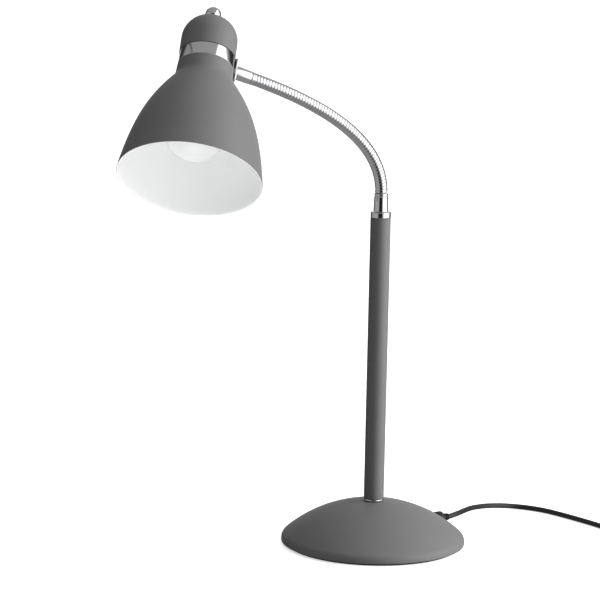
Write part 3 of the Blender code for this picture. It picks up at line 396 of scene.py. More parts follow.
# %% Plate the bright metals
def bright_metal(name, colour, smooth, worn, relief=0.0):
    """Plated or turned metal, its polish between two values; relief is the bumps' height."""
    material, tree, shader = start_finish(name, colour, smooth, Metallic=1.0)
    place = add_node(tree, "ShaderNodeTexCoord")
    haze = add_node(tree, "ShaderNodeTexNoise", {"Vector": place.outputs["Object"],
                                                 "Scale": 1 / (9 * MM), "Detail": 3.0})
    gloss = add_node(tree, "ShaderNodeMapRange",
                     {"Value": haze.outputs["Fac"], "From Min": 0.3, "From Max": 0.7,
                      "To Min": smooth, "To Max": worn})
    tree.links.new(gloss.outputs["Result"], shader.inputs["Roughness"])
    if relief:
        crystals = add_node(tree, "ShaderNodeTexNoise", {"Vector": place.outputs["Object"],
                                                         "Scale": 1 / (2 * MM), "Detail": 1.0})
        bump = add_node(tree, "ShaderNodeBump", {"Height": crystals.outputs["Fac"],
                                                 "Distance": relief, "Strength": 1.0})
        tree.links.new(bump.outputs["Normal"], shader.inputs["Normal"])
    return material


# decorative chrome over nickel: a cool mirror that shows the studio's bands sharply
chrome = bright_metal("chrome_plate", "#E6E6E8", 0.05, 0.10)
# drawn wire, plated before winding: the same metal, with softer stripes
coil_chrome = bright_metal("chromed_spring_wire", "#DEDEE0", 0.12, 0.20)
# bright zinc on nuts and tubes: dull, bluish and faintly crystalline
zinc = bright_metal("zinc_plated_steel", "#B9BABD", 0.28, 0.42, 0.02 * MM)
# bare contacts and screws: warm yellow with a soft turned shine
brass = bright_metal("turned_brass", "#D9B56A", 0.22, 0.34)
# the bulb's thread and the plug's pins: a paler, slightly warm mirror
nickel = bright_metal("nickel_plated_brass", "#CFCBC2", 0.18, 0.30)
print(chrome.name, coil_chrome.name, zinc.name, brass.name, nickel.name)

# %% [markdown]
# The dark pieces come out of a mould or a nozzle, whose surface they copy: spark-eroded
# steel leaves a grain of about a third of a millimetre, cut foam shows its cells, cast
# iron the grain of its sand.  Fired clay and glass are made in this way too, with a far finer
# and shallower pattern.  Fine noise gives the grain's bumps and gloss, and broad noise
# shifts the tone.

# %% Mould the plastics, the sheath, the foam and the cast pieces
def moulded(name, dark, light, roughness, grain, height, **settings):
    """A surface copied from a mould, with grain of the given size and height."""
    material, tree, shader = start_finish(name, light, roughness, **settings)
    place = add_node(tree, "ShaderNodeTexCoord")
    pebbles = add_node(tree, "ShaderNodeTexNoise",
                       {"Vector": place.outputs["Object"], "Scale": 1 / grain, "Detail": 4.0,
                        "Roughness": 0.6})
    cloud = add_node(tree, "ShaderNodeTexNoise", {"Vector": place.outputs["Object"],
                                                  "Scale": 1 / (14 * MM), "Detail": 2.0})
    tint = add_node(tree, "ShaderNodeMix", {"Factor": cloud.outputs["Fac"], "A": linear(dark),
                                            "B": linear(light)}, data_type="RGBA")
    gloss = add_node(tree, "ShaderNodeMapRange",
                     {"Value": pebbles.outputs["Fac"], "From Min": 0.3, "From Max": 0.7,
                      "To Min": roughness - 0.05, "To Max": roughness + 0.07})
    bump = add_node(tree, "ShaderNodeBump", {"Height": pebbles.outputs["Fac"],
                                             "Distance": height, "Strength": 1.0})
    tree.links.new(tint.outputs["Result"], shader.inputs["Base Color"])
    tree.links.new(gloss.outputs["Result"], shader.inputs["Roughness"])
    tree.links.new(bump.outputs["Normal"], shader.inputs["Normal"])
    return material


# injection-moulded nylon: black with a fine grain that breaks up highlights
black_plastic = moulded("moulded_black_nylon", "#151515", "#1D1D1E", 0.46, 0.35 * MM,
                        0.012 * MM)
# extruded soft vinyl: a shade paler and a little shinier than the nylon
cord_sheath = moulded("extruded_pvc_sheath", "#1C1C1D", "#262627", 0.40, 0.6 * MM, 0.01 * MM)
# closed-cell foam: the darkest and mattest, because its cut cells trap light
foam = moulded("closed_cell_foam", "#0F0F0F", "#1B1B1B", 0.92, 0.8 * MM, 0.12 * MM)
# sand-cast iron: brownish grey, coarse, with only a dull metal shine
iron = moulded("cast_iron", "#2B2A29", "#3A3938", 0.75, 1.2 * MM, 0.10 * MM, Metallic=0.6)
# glazed porcelain round the contacts: cream with a wet gloss
porcelain = moulded("glazed_porcelain", "#E4E0D8", "#EFEBE4", 0.22, 3 * MM, 0.01 * MM)
# opal glass, milky all through: it looks like a smooth white solid
opal_glass = moulded("opal_glass", "#D9DADA", "#E0E1E1", 0.16, 8 * MM, 0.004 * MM)
print(black_plastic.name, cord_sheath.name, foam.name, iron.name, porcelain.name,
      opal_glass.name)

# %% [markdown]
# The lamp stands on white paper that runs back to the horizon.  It glows a little, as
# the top of a light table does, so it stays white far away.  The painted studio reaches
# below the horizon, so the paper is kept out of reflections and bounced light.

# %% Make the pale floor
# uncoated white paper: fully matt, with a fibre grain of a millimetre or so
floor_finish = moulded("matt_paper_floor", "#FBFBFB", "#FFFFFF", 0.9, 1.5 * MM, 0.01 * MM,
                       **{"Emission Color": (1, 1, 1, 1), "Emission Strength": 0.6})
floor_mesh = bmesh.new()
bmesh.ops.create_circle(floor_mesh, cap_ends=True, segments=96, radius=14.0)
floor = into_object("floor", floor_mesh)
floor.data.materials.append(floor_finish)
floor.visible_glossy = False
floor.visible_diffuse = False
print("floor of", len(floor.data.polygons), "face")

# %% [markdown]
# ## The base
#
# The base is a sheet-steel dome, spun over a form and powder coated, with its rim rolled
# under.  A cast-iron ring inside makes it heavy, and a black plate and a foam pad close
# it below.  The dome is part of a sphere; its radius follows from the crown's height
# and the rolled rim, so the curve runs into the rim without a crease.

# %% Turn the dome
BASE_RADIUS = 85.0 * MM
BASE_TOP = 41.3 * MM
RIM_ROUND = 8.0 * MM
RIM_WIDEST = 4.4 * MM
SHEET = 1.2 * MM
TUBE_HOLE = 5.3 * MM

rim_inner = BASE_RADIUS - RIM_ROUND
crown_drop = BASE_TOP - RIM_WIDEST
dome_radius = ((rim_inner ** 2 + crown_drop ** 2 - RIM_ROUND ** 2)
               / (2 * (crown_drop - RIM_ROUND)))
dome_middle = BASE_TOP - dome_radius


def arc(centre_r, centre_z, radius, start, end, count):
    """Points (radius, height) of an arc, its angles in degrees from the outward direction."""
    angles = [math.radians(start + (end - start) * i / count) for i in range(count + 1)]
    return [(centre_r + radius * math.cos(a), centre_z + radius * math.sin(a)) for a in angles]


def dome_side(inset):
    sphere = dome_radius - inset
    crown_angle = math.degrees(math.acos(TUBE_HOLE / sphere))
    meeting = math.degrees(math.atan2(RIM_WIDEST - dome_middle, rim_inner))
    return (arc(0, dome_middle, sphere, crown_angle, meeting, 40)
            + arc(rim_inner, RIM_WIDEST, RIM_ROUND - inset, meeting, -14, 14)[1:])


outer = dome_side(0)
inner = dome_side(SHEET)
dome = lathe("base_dome", outer + inner[::-1], 160)
dress(dome, grey_coat, "base", "grey_paint", "base_shell")

# %% [markdown]
# The plate is pressed into the dome's mouth and keeps the weight in.  The pad under it
# is cut from a sheet of foam, so that the lamp doesn't scratch the desk.  Both are flat
# discs, and only their outer edges are broken.

# %% Turn the plate and the pad
PLATE_RADIUS = BASE_RADIUS - SHEET - 2 * GAP
plate_outline = [(0, 2.9 * MM), (PLATE_RADIUS, 2.9 * MM), (PLATE_RADIUS, 1.8 * MM), (0, 1.8 * MM)]
plate = lathe("base_bottom_plate", rounded(plate_outline, [0, 0.4 * MM, 0.4 * MM, 0]), 128,
              closed=False)
dress(plate, black_plastic, "base", "black", "base_plate")

PAD_RADIUS = BASE_RADIUS - 4.5 * MM
pad_outline = [(0, 1.5 * MM), (PAD_RADIUS, 1.5 * MM), (PAD_RADIUS, 0), (0, 0)]
pad = lathe("base_foam_pad", rounded(pad_outline, [0, 0.5 * MM, 0.3 * MM, 0]), 128, closed=False)
dress(pad, foam, "base", "foam", "foam_pad")

# %% [markdown]
# ## The post and its chrome fittings
#
# The post is a straight coated tube.  A thin chrome ring seats it on the dome, and a
# chrome collar and a tapered ferrule finish its top.  Their edges are rounded like
# turned and tumbled metal, and the ferrule has a shallow groove where it meets the coil.

# %% Turn the post, the ring, the collar and the lower ferrule
POST_RADIUS = 9.3 * MM
POST_LENGTH = 261.0 * MM
RING_BOTTOM = BASE_TOP + GAP
RING_TOP = RING_BOTTOM + 1.6 * MM
POST_BOTTOM = RING_TOP + GAP
POST_TOP = POST_BOTTOM + POST_LENGTH
COLLAR_TOP = POST_TOP + 5.7 * MM
FERRULE_BOTTOM = COLLAR_TOP + GAP
FERRULE_TOP = FERRULE_BOTTOM + 16.4 * MM
NECK_FOOT = FERRULE_TOP + GAP


def tube(outer_radius, bore, top, bottom):
    return [(outer_radius, top), (outer_radius, bottom), (bore, bottom), (bore, top)]


ring = lathe("foot_ring_turned", rounded(tube(POST_RADIUS, TUBE_HOLE, RING_TOP, RING_BOTTOM),
                                         [0.55 * MM, 0.55 * MM, 0.1 * MM, 0.1 * MM], 5), 96)
dress(ring, chrome, "base", "chrome", "foot_ring")

post = lathe("post_tube", rounded(tube(POST_RADIUS, 8.1 * MM, POST_TOP, POST_BOTTOM), 0.25 * MM),
             96)
dress(post, grey_coat, "base", "grey_paint", "post")

collar_outline = tube(POST_RADIUS + 0.05 * MM, 4.5 * MM, COLLAR_TOP, POST_TOP + GAP)
collar = lathe("collar_turned", rounded(collar_outline, [1.0 * MM, 0.6 * MM, 0.1 * MM, 0.1 * MM],
                                        6), 96)
dress(collar, chrome, "base", "chrome", "post_collar")


def ferrule_outline(foot_radius, tip_radius, foot, tip, bore):
    """A tapered sleeve with a shallow groove just below its tip."""
    length = tip - foot
    groove = foot + length * 0.84
    radius = tip_radius + 0.1 * MM
    return [(tip_radius, tip), (tip_radius, groove + 0.9 * MM),
            (radius - 0.5 * MM, groove + 0.5 * MM), (radius - 0.5 * MM, groove),
            (radius, groove - 0.4 * MM), (foot_radius, foot), (bore, foot), (bore, tip)]


FERRULE_CUTS = [0.25 * MM] * 5 + [0.1 * MM] * 2     # its tip's own cut comes first
lower = lathe("lower_ferrule_turned",
              rounded(ferrule_outline(6.85 * MM, 6.3 * MM, FERRULE_BOTTOM, FERRULE_TOP, 2.6 * MM),
                      [0.7 * MM] + FERRULE_CUTS), 72)
dress(lower, chrome, "base", "chrome", "lower_ferrule")

# %% [markdown]
# ## The flexible neck
#
# A gooseneck is a long spring of flattened wire over a second, inner one, so it holds
# any bend by friction.  What the eye sees is sixty bright turns, nearly flush, with thin
# dark grooves between them.  Geometry Nodes suit it well: the centre line is one Bezier
# segment, its points are pushed out sideways by an angle that grows along it, and a
# small flat bar with rolled edges follows the result.  Each point's normal is set to
# the way out before the push, so the bar always lies flat on the neck.  The tree makes
# one stretch of the spring at a time, each stretch spanning one joint. The tree makes
# one stretch of the spring at a time, because each stretch bends about its own joint.

# %% Measure the neck's centre line
NECK_LEAN = Vector((math.cos(math.radians(199.2)), math.sin(math.radians(199.2)), 0))
NECK_REACH = 124.3 * MM
NECK_RISE = 104.4 * MM
NECK_END_SLOPE = math.radians(19.2)
FOOT_PULL = 48.0 * MM
HEAD_PULL = 72.3 * MM
NECK_RADIUS = 5.7 * MM
NECK_TURNS = 60
LINK_TURNS = [3] * 10 + [6] * 5


def neck_place(reach, height):
    return NECK_LEAN * reach + UP * (NECK_FOOT + height)


end_direction = NECK_LEAN * math.cos(NECK_END_SLOPE) + UP * math.sin(NECK_END_SLOPE)
neck_start = neck_place(0, 0)
neck_end = neck_place(NECK_REACH, NECK_RISE)
neck_handles = (neck_start + UP * FOOT_PULL, neck_end - end_direction * HEAD_PULL)


def neck_point(t):
    s = 1 - t
    corners = (neck_start, *neck_handles, neck_end)
    weights = (s ** 3, 3 * s * s * t, 3 * s * t * t, t ** 3)
    return sum((c * w for c, w in zip(corners, weights)), Vector())


fine_line = [neck_point(i / 600) for i in range(601)]
reached = [0.0]
for before, after in zip(fine_line, fine_line[1:]):
    reached.append(reached[-1] + (after - before).length)


# %% Build the spring's node tree
def spring_tree():
    """Sizes are named inputs; From and To are the stretch's shares of the whole length."""
    tree = bpy.data.node_groups.new("gooseneck_spring", "GeometryNodeTree")
    face = tree.interface
    sockets = [("Start", "NodeSocketVector"), ("Start Handle", "NodeSocketVector"),
               ("End Handle", "NodeSocketVector"), ("End", "NodeSocketVector"),
               ("Turns", "NodeSocketFloat"), ("Outer Radius", "NodeSocketFloat"),
               ("Wire Radius", "NodeSocketFloat"), ("Wire Width", "NodeSocketFloat"),
               ("Wire Edge", "NodeSocketFloat"), ("Steps", "NodeSocketInt"),
               ("From", "NodeSocketFloat"), ("To", "NodeSocketFloat"),
               ("Wire Finish", "NodeSocketMaterial"), ("Core Finish", "NodeSocketMaterial")]
    for name, kind in sockets:
        face.new_socket(name, in_out="INPUT", socket_type=kind)
    face.new_socket("Geometry", in_out="OUTPUT", socket_type="NodeSocketGeometry")
    given = add_node(tree, "NodeGroupInput").outputs
    line = add_node(tree, "GeometryNodeCurvePrimitiveBezierSegment",
                    {"Resolution": 400, "Start": given["Start"],
                     "Start Handle": given["Start Handle"], "End Handle": given["End Handle"],
                     "End": given["End"]})
    stretch = add_node(tree, "GeometryNodeTrimCurve",
                       {"Curve": line.outputs["Curve"], "Start": given["From"],
                        "End": given["To"]}, mode="FACTOR")
    points = add_node(tree, "GeometryNodeResampleCurve",
                      {"Curve": stretch.outputs["Curve"], "Count": given["Steps"]}, mode="COUNT")
    share = add_node(tree, "GeometryNodeSplineParameter")
    whole = add_node(tree, "ShaderNodeMapRange", {"Value": share.outputs["Factor"],
                                                  "To Min": given["From"], "To Max": given["To"]})
    turned = add_node(tree, "ShaderNodeMath", {0: whole.outputs["Result"], 1: given["Turns"]},
                      operation="MULTIPLY")
    angle = add_node(tree, "ShaderNodeMath", {0: turned.outputs[0], 1: 2 * math.pi},
                     operation="MULTIPLY")
    tangent = add_node(tree, "GeometryNodeInputTangent")
    level = add_node(tree, "ShaderNodeVectorMath",
                     {0: NECK_LEAN.cross(UP), 1: tangent.outputs["Tangent"]},
                     operation="CROSS_PRODUCT")
    ahead = add_node(tree, "ShaderNodeMath", {0: angle.outputs[0]}, operation="COSINE")
    aside = add_node(tree, "ShaderNodeMath", {0: angle.outputs[0]}, operation="SINE")
    ahead_part = add_node(tree, "ShaderNodeVectorMath", {0: level.outputs["Vector"],
                                                         "Scale": ahead.outputs[0]},
                          operation="SCALE")
    aside_part = add_node(tree, "ShaderNodeVectorMath", {0: NECK_LEAN.cross(UP),
                                                         "Scale": aside.outputs[0]},
                          operation="SCALE")
    outward = add_node(tree, "ShaderNodeVectorMath", {0: ahead_part.outputs["Vector"],
                                                      1: aside_part.outputs["Vector"]},
                       operation="ADD")
    wire_height = add_node(tree, "ShaderNodeMath", {0: given["Wire Radius"], 1: 2.0},
                           operation="MULTIPLY")
    winding = add_node(tree, "ShaderNodeMath", {0: given["Outer Radius"],
                                                1: given["Wire Radius"]}, operation="SUBTRACT")
    push = add_node(tree, "ShaderNodeVectorMath", {0: outward.outputs["Vector"],
                                                   "Scale": winding.outputs[0]}, operation="SCALE")
    facing = add_node(tree, "GeometryNodeSetCurveNormal",
                      {"Curve": points.outputs["Curve"], "Normal": outward.outputs["Vector"]},
                      mode="FREE")
    coiled = add_node(tree, "GeometryNodeSetPosition", {"Geometry": facing.outputs["Curve"],
                                                        "Offset": push.outputs["Vector"]})
    flat_ring = add_node(tree, "GeometryNodeCurvePrimitiveQuadrilateral",
                         {"Width": wire_height.outputs[0], "Height": given["Wire Width"]})
    wire_ring = add_node(tree, "GeometryNodeFilletCurve",
                         {"Curve": flat_ring.outputs["Curve"], "Radius": given["Wire Edge"],
                          "Count": 6}, mode="POLY")
    wire = add_node(tree, "GeometryNodeCurveToMesh", {"Curve": coiled.outputs["Geometry"],
                                                      "Profile Curve": wire_ring.outputs["Curve"],
                                                      "Fill Caps": True})
    core_ring = add_node(tree, "GeometryNodeCurvePrimitiveCircle", {"Resolution": 24,
                                                                    "Radius": winding.outputs[0]})
    core_line = add_node(tree, "GeometryNodeResampleCurve",
                         {"Curve": stretch.outputs["Curve"], "Count": 12}, mode="COUNT")
    core = add_node(tree, "GeometryNodeCurveToMesh", {"Curve": core_line.outputs["Curve"],
                                                      "Profile Curve": core_ring.outputs["Curve"],
                                                      "Fill Caps": True})
    both = add_node(tree, "GeometryNodeJoinGeometry")
    for part, finish in ((wire, "Wire Finish"), (core, "Core Finish")):
        smooth = add_node(tree, "GeometryNodeSetShadeSmooth", {"Geometry": part.outputs["Mesh"]})
        real = add_node(tree, "GeometryNodeRealizeInstances",
                        {"Geometry": smooth.outputs["Geometry"]})
        dressed = add_node(tree, "GeometryNodeSetMaterial",
                           {"Geometry": real.outputs["Geometry"], "Material": given[finish]})
        tree.links.new(dressed.outputs["Geometry"], both.inputs["Geometry"])
    add_node(tree, "NodeGroupOutput", {"Geometry": both.outputs["Geometry"]})
    return tree


def run_tree(name, tree, values):
    """Run a node tree once on an empty mesh and keep the result as a plain mesh object."""
    holder = bpy.data.objects.new(name + "_tree", bpy.data.meshes.new(name + "_tree"))
    bpy.context.scene.collection.objects.link(holder)
    modifier = holder.modifiers.new("tree", "NODES")
    modifier.node_group = tree
    for socket in tree.interface.items_tree:
        if socket.in_out == "INPUT" and socket.name in values:
            modifier[socket.identifier] = values[socket.name]
    bpy.context.view_layer.update()
    ready = holder.evaluated_get(bpy.context.evaluated_depsgraph_get())
    mesh = bpy.data.meshes.new_from_object(ready)
    mesh.name = name
    bpy.data.objects.remove(holder, do_unlink=True)
    piece = bpy.data.objects.new(name, mesh)
    bpy.context.scene.collection.objects.link(piece)
    return piece


spring = spring_tree()
print("spring tree of", len(spring.nodes), "nodes")

# %% [markdown]
# The neck is one long spring, but it has to bend at every joint.  So it is wound in
# stretches that run from the middle of one link to the middle of the next.  All share
# the same turns, so no seam shows, and the last one rides with the last link.

# %% Wind the neck, one stretch for each joint
WIRE_RADIUS = 0.95 * MM             # half the height of the flattened wire
WIRE_WIDTH = 2.80 * MM              # just under the pitch, so the turns all but touch
WIRE_EDGE = 0.38 * MM               # how far its edges are rolled over
STEPS_PER_TURN = 22

link_ends = [sum(LINK_TURNS[:i]) / NECK_TURNS for i in range(len(LINK_TURNS) + 1)]
link_middles = [(a + b) / 2 for a, b in zip(link_ends, link_ends[1:])]
stretches = [0.0, *link_middles, 1.0]


def wind(name, start, end):
    turns = (end - start) * NECK_TURNS
    values = {"Start": neck_start, "Start Handle": neck_handles[0], "End Handle": neck_handles[1],
              "End": neck_end, "Turns": float(NECK_TURNS), "Outer Radius": NECK_RADIUS,
              "Wire Radius": WIRE_RADIUS, "Wire Width": WIRE_WIDTH, "Wire Edge": WIRE_EDGE,
              "Steps": round(turns * STEPS_PER_TURN) + 1, "From": start, "To": end,
              "Wire Finish": coil_chrome, "Core Finish": zinc}
    return run_tree(name, spring, values)


for number, (start, end) in enumerate(zip(stretches, stretches[1:]), 1):
    piece = wind(f"neck_spring_{number:02d}", start, end)
    if number > len(link_middles):
        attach(piece, "neck_15")
        continue
    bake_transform(piece)
    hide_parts(f"neck_link_{number:02d}")
print(len(stretches) - 1, "stretches of spring")

# %% [markdown]
# ## The swivel and the head
#
# The neck ends in a second ferrule and a small bent plate, and the whole head turns on
# it.  The head is a stack on one axis: a ball knob, a domed cap, a polished band and
# the bell.  Its own frame has +Z towards the knob and +X back along the swivel, so each
# outline is written as if the head stood upright.

# %% Work out where the head is
SWIVEL_INNER = 18.9 * MM
NUT_HEIGHT = 2.3 * MM
NUT_CORNER = 5.6 * MM
SLEEVE_SHEET = 0.9 * MM
BAND_SHEET = 0.7 * MM
BAND_INSET = 0.4 * MM
SLEEVE_INSIDE = math.hypot(SWIVEL_INNER + 0.1 * MM + NUT_HEIGHT + 0.4 * MM, NUT_CORNER)
HEAD_RADIUS = SLEEVE_INSIDE + SLEEVE_SHEET + 2 * GAP + BAND_SHEET + BAND_INSET
NECK_FLARE = 0.9 * MM
BRACKET_INSIDE = HEAD_RADIUS + NECK_FLARE * 0.5 + GAP
BRACKET_OUTSIDE = BRACKET_INSIDE + 1.7 * MM
HEAD_OFFSET = BRACKET_OUTSIDE + 18.6 * MM
HEAD_ROLL = math.radians(-32.2)

head_centre = neck_end + end_direction * HEAD_OFFSET
hanging = NECK_LEAN * math.sin(NECK_END_SLOPE) - UP * math.cos(NECK_END_SLOPE)
opening = hanging * math.cos(HEAD_ROLL) + NECK_LEAN.cross(UP) * math.sin(HEAD_ROLL)
head_z = -opening
head_x = -end_direction
head_y = head_z.cross(head_x)
HEAD = Matrix.Translation(head_centre) @ Matrix((head_x, head_y, head_z)).transposed().to_4x4()
SWIVEL = HEAD @ Matrix.Rotation(math.radians(90), 4, "Y")   # local Z runs along the swivel
print("head centre", [round(v / MM, 1) for v in head_centre])

# %% [markdown]
# The upper ferrule is the lower one's smaller brother.  It ends on a small bent plate,
# punched from thick sheet and tumbled round.  The plate is drawn as a flat outline,
# given its thickness and bevelled along its rims.

# %% Turn the upper ferrule and cut the bracket plate
FERRULE_FOOT = BRACKET_OUTSIDE + GAP
upper = lathe("upper_ferrule_turned",
              rounded(ferrule_outline(6.3 * MM, 5.9 * MM, FERRULE_FOOT, FERRULE_FOOT + 18 * MM,
                                      2.2 * MM), [0.6 * MM] + FERRULE_CUTS),
              72, SWIVEL)
dress(upper, chrome, "neck_15", "chrome", "upper_ferrule")

BRACKET_HEIGHT = 24.5 * MM
BRACKET_WIDTH = 14.0 * MM


def plate_piece(name, outline, low, high, matrix, bevel, segments=3):
    """A plate with the given outline between two heights, its edges rounded."""
    mesh = bmesh.new()
    face = mesh.faces.new([mesh.verts.new((x, y, low)) for x, y in outline])
    raised = bmesh.ops.extrude_face_region(mesh, geom=[face])["geom"]
    tops = [v for v in raised if isinstance(v, bmesh.types.BMVert)]
    bmesh.ops.translate(mesh, verts=tops, vec=(0, 0, high - low))
    bmesh.ops.recalc_face_normals(mesh, faces=mesh.faces)
    rims = [e for e in mesh.edges if abs(e.verts[0].co.z - e.verts[1].co.z) < 1e-9]
    bmesh.ops.bevel(mesh, geom=rims, offset=bevel, segments=segments, affect="EDGES",
                    profile=0.5)
    return into_object(name, mesh, matrix, 60)


def rounded_box(width, height, radius, count=10):
    points = []
    for i, (sx, sy) in enumerate(((1, 1), (-1, 1), (-1, -1), (1, -1))):
        points += arc(sx * (width / 2 - radius), sy * (height / 2 - radius), radius,
                      90 * i, 90 * i + 90, count)
    return points


bracket = plate_piece("bracket_plate", rounded_box(BRACKET_HEIGHT, BRACKET_WIDTH,
                                                   BRACKET_WIDTH * 0.35),
                      BRACKET_INSIDE, BRACKET_OUTSIDE, SWIVEL, 0.45 * MM)
dress(bracket, chrome, "head", "chrome", "bracket")

# %% [markdown]
# The bell is spun from sheet: a nearly straight neck that meets the band, and a flank
# that swells quickly below a soft shoulder and ends almost upright at the mouth.  The
# flank is one Bezier curve, whose two handles set how it leaves and how it ends.
#
# The outside is grey and the inside white.  One closed sheet carries both coats, with
# the change hidden in the rolled edge of the mouth, as the real shade is sprayed twice.

# %% Turn the bell shade
BAND_HEIGHT = 11.4 * MM
SHOULDER_DEPTH = 19.9 * MM
SHADE_DEPTH = 119.4 * MM
SHADE_RADIUS = 63.6 * MM
SHOULDER_SLOPE = math.radians(35.8)
SHOULDER_PULL = 32.4 * MM
RIM_SLOPE = math.radians(8.4)
RIM_PULL = 53.0 * MM
SHADE_SHEET = 1.0 * MM


def bezier(p0, p1, p2, p3, count):
    points = []
    for i in range(count + 1):
        t = i / count
        s = 1 - t
        weights = (s ** 3, 3 * s * s * t, 3 * s * t * t, t ** 3)
        corners = list(zip(weights, (p0, p1, p2, p3)))
        points.append((sum(w * p[0] for w, p in corners), sum(w * p[1] for w, p in corners)))
    return points


def moved_in(outline, distance):
    """The outline moved to the inner side of a sheet drawn from the top down."""
    result = []
    last = len(outline) - 1
    for i, (r, z) in enumerate(outline):
        before, after = outline[max(i - 1, 0)], outline[min(i + 1, last)]
        along = Vector((after[0] - before[0], after[1] - before[1])).normalized()
        result.append((r + along.y * distance, z - along.x * distance))
    return result


top_radius = HEAD_RADIUS - 0.2 * MM
shoulder = top_radius + NECK_FLARE
flank = bezier((shoulder, -SHOULDER_DEPTH),
               (shoulder + SHOULDER_PULL * math.sin(SHOULDER_SLOPE),
                -SHOULDER_DEPTH - SHOULDER_PULL * math.cos(SHOULDER_SLOPE)),
               (SHADE_RADIUS - RIM_PULL * math.sin(RIM_SLOPE),
                -SHADE_DEPTH + RIM_PULL * math.cos(RIM_SLOPE)),
               (SHADE_RADIUS, -SHADE_DEPTH), 48)
neck_line = [(top_radius, -BAND_HEIGHT / 2 - GAP)]
# the shoulder is eased over a few millimetres, as sheet metal turns
eased = rounded(neck_line + [flank[0]] + flank[4:], [0, 5 * MM] + [0] * (len(flank) - 4), 8, False)
bell_inside = moved_in(eased, SHADE_SHEET)
lip_middle = ((eased[-1][0] + bell_inside[-1][0]) / 2, (eased[-1][1] + bell_inside[-1][1]) / 2)
lip = arc(*lip_middle, SHADE_SHEET / 2, -20, -160, 6)
bell_line = eased[:-1] + lip + bell_inside[-2::-1]
bell = lathe("bell_shade", bell_line, 160, HEAD)
bell.data.materials.append(grey_coat)
bell.data.materials.append(white_coat)
inverse = HEAD.inverted()
for polygon in bell.data.polygons:
    middle = inverse @ polygon.center
    outward = Vector((middle.x, middle.y, 0))
    facing = inverse.to_3x3() @ polygon.normal
    polygon.material_index = 1 if facing.dot(outward) < 0 else 0
dress(bell, grey_coat, "head", "grey_paint", "shade")

# %% [markdown]
# Above the bell come a polished steel band, a domed cap that is drawn from sheet and
# coated like the bell, and a solid chrome ball that screws the stack together.  All
# three are turned about the head's axis.

# %% Turn the cap, the band and the knob
CAP_STRAIGHT = 22.4 * MM
CAP_DOME = HEAD_RADIUS - 1.8 * MM
STUD_HOLE = 2.5 * MM
DOME_STEPS = 28


def cap_side(inset):
    radius, height = HEAD_RADIUS - inset, CAP_DOME - inset
    start = math.acos(STUD_HOLE / radius)
    angles = [start * (1 - i / DOME_STEPS) for i in range(DOME_STEPS + 1)]
    side = [(radius * math.cos(a), CAP_STRAIGHT + height * math.sin(a)) for a in angles]
    return side + [(radius, BAND_HEIGHT / 2 + GAP)]


cap_line = cap_side(0) + cap_side(SHADE_SHEET)[::-1]
cap_cuts = [0.0] * len(cap_line)
cap_cuts[DOME_STEPS + 1] = 0.3 * MM
cap = lathe("head_cap", rounded(cap_line, cap_cuts), 128, HEAD)
dress(cap, grey_coat, "head", "grey_paint", "lamp_cap")

band_radius = HEAD_RADIUS - BAND_INSET
band = lathe("polished_band", rounded(tube(band_radius, band_radius - BAND_SHEET, BAND_HEIGHT / 2,
                                           -BAND_HEIGHT / 2), 0.25 * MM), 128, HEAD)
dress(band, chrome, "head", "chrome", "chrome_band")

KNOB_RADIUS = 7.2 * MM
KNOB_SINK = 3.9 * MM
knob_base = CAP_STRAIGHT + CAP_DOME + GAP
knob_middle = knob_base + KNOB_SINK
lowest = math.degrees(math.asin(-KNOB_SINK / KNOB_RADIUS))
ball = arc(0, knob_middle, KNOB_RADIUS, 90, lowest, DOME_STEPS)
knob_line = ball + [(STUD_HOLE, knob_base), (STUD_HOLE, knob_middle + 3.5 * MM),
                    (0, knob_middle + 3.5 * MM)]
knob_line[0] = (0, knob_line[0][1])
knob_cuts = [0.0] * len(knob_line)
knob_cuts[DOME_STEPS] = 0.4 * MM
knob = lathe("ball_knob", rounded(knob_line, knob_cuts, closed=False), 72, HEAD, closed=False)
dress(knob, chrome, "head", "chrome", "knob")

# %% [markdown]
# ## The lampholder and the bulb
#
# Looking up into the shade one sees the black skirt of a screw lampholder and an opal
# bulb.  The bulb is a glass bottle: a globe that runs into a narrower neck, cemented
# into a threaded cap.

# %% Turn the lampholder's skirt
HOLDER_RADIUS = 16.6 * MM
HOLDER_WALL = 2.2 * MM
HOLDER_TOP = 11.0 * MM
HOLDER_BOTTOM = -14.0 * MM
ribs = []
for k in range(9):
    z = HOLDER_TOP - (2.0 + 2.4 * k) * MM
    ribs += [(HOLDER_RADIUS, z), (HOLDER_RADIUS - 0.5 * MM, z - 0.5 * MM),
             (HOLDER_RADIUS - 0.5 * MM, z - 1.2 * MM), (HOLDER_RADIUS, z - 1.7 * MM)]
skirt_line = ([(HOLDER_RADIUS, HOLDER_TOP)] + ribs
              + [(HOLDER_RADIUS, HOLDER_BOTTOM), (HOLDER_RADIUS - HOLDER_WALL, HOLDER_BOTTOM),
                 (HOLDER_RADIUS - HOLDER_WALL, HOLDER_TOP)])
skirt = lathe("holder_skirt", rounded(skirt_line, 0.2 * MM, 2), 72, HEAD)
dress(skirt, black_plastic, "head", "black", "holder_body")

# %% [markdown]
# The bulb's cap is thin nickel-plated brass with a rolled thread.  The glass is blown:
# its globe is a circle's arc, and the neck runs into it along a Bezier curve that
# leaves the cap straight down and meets the arc in its own direction.

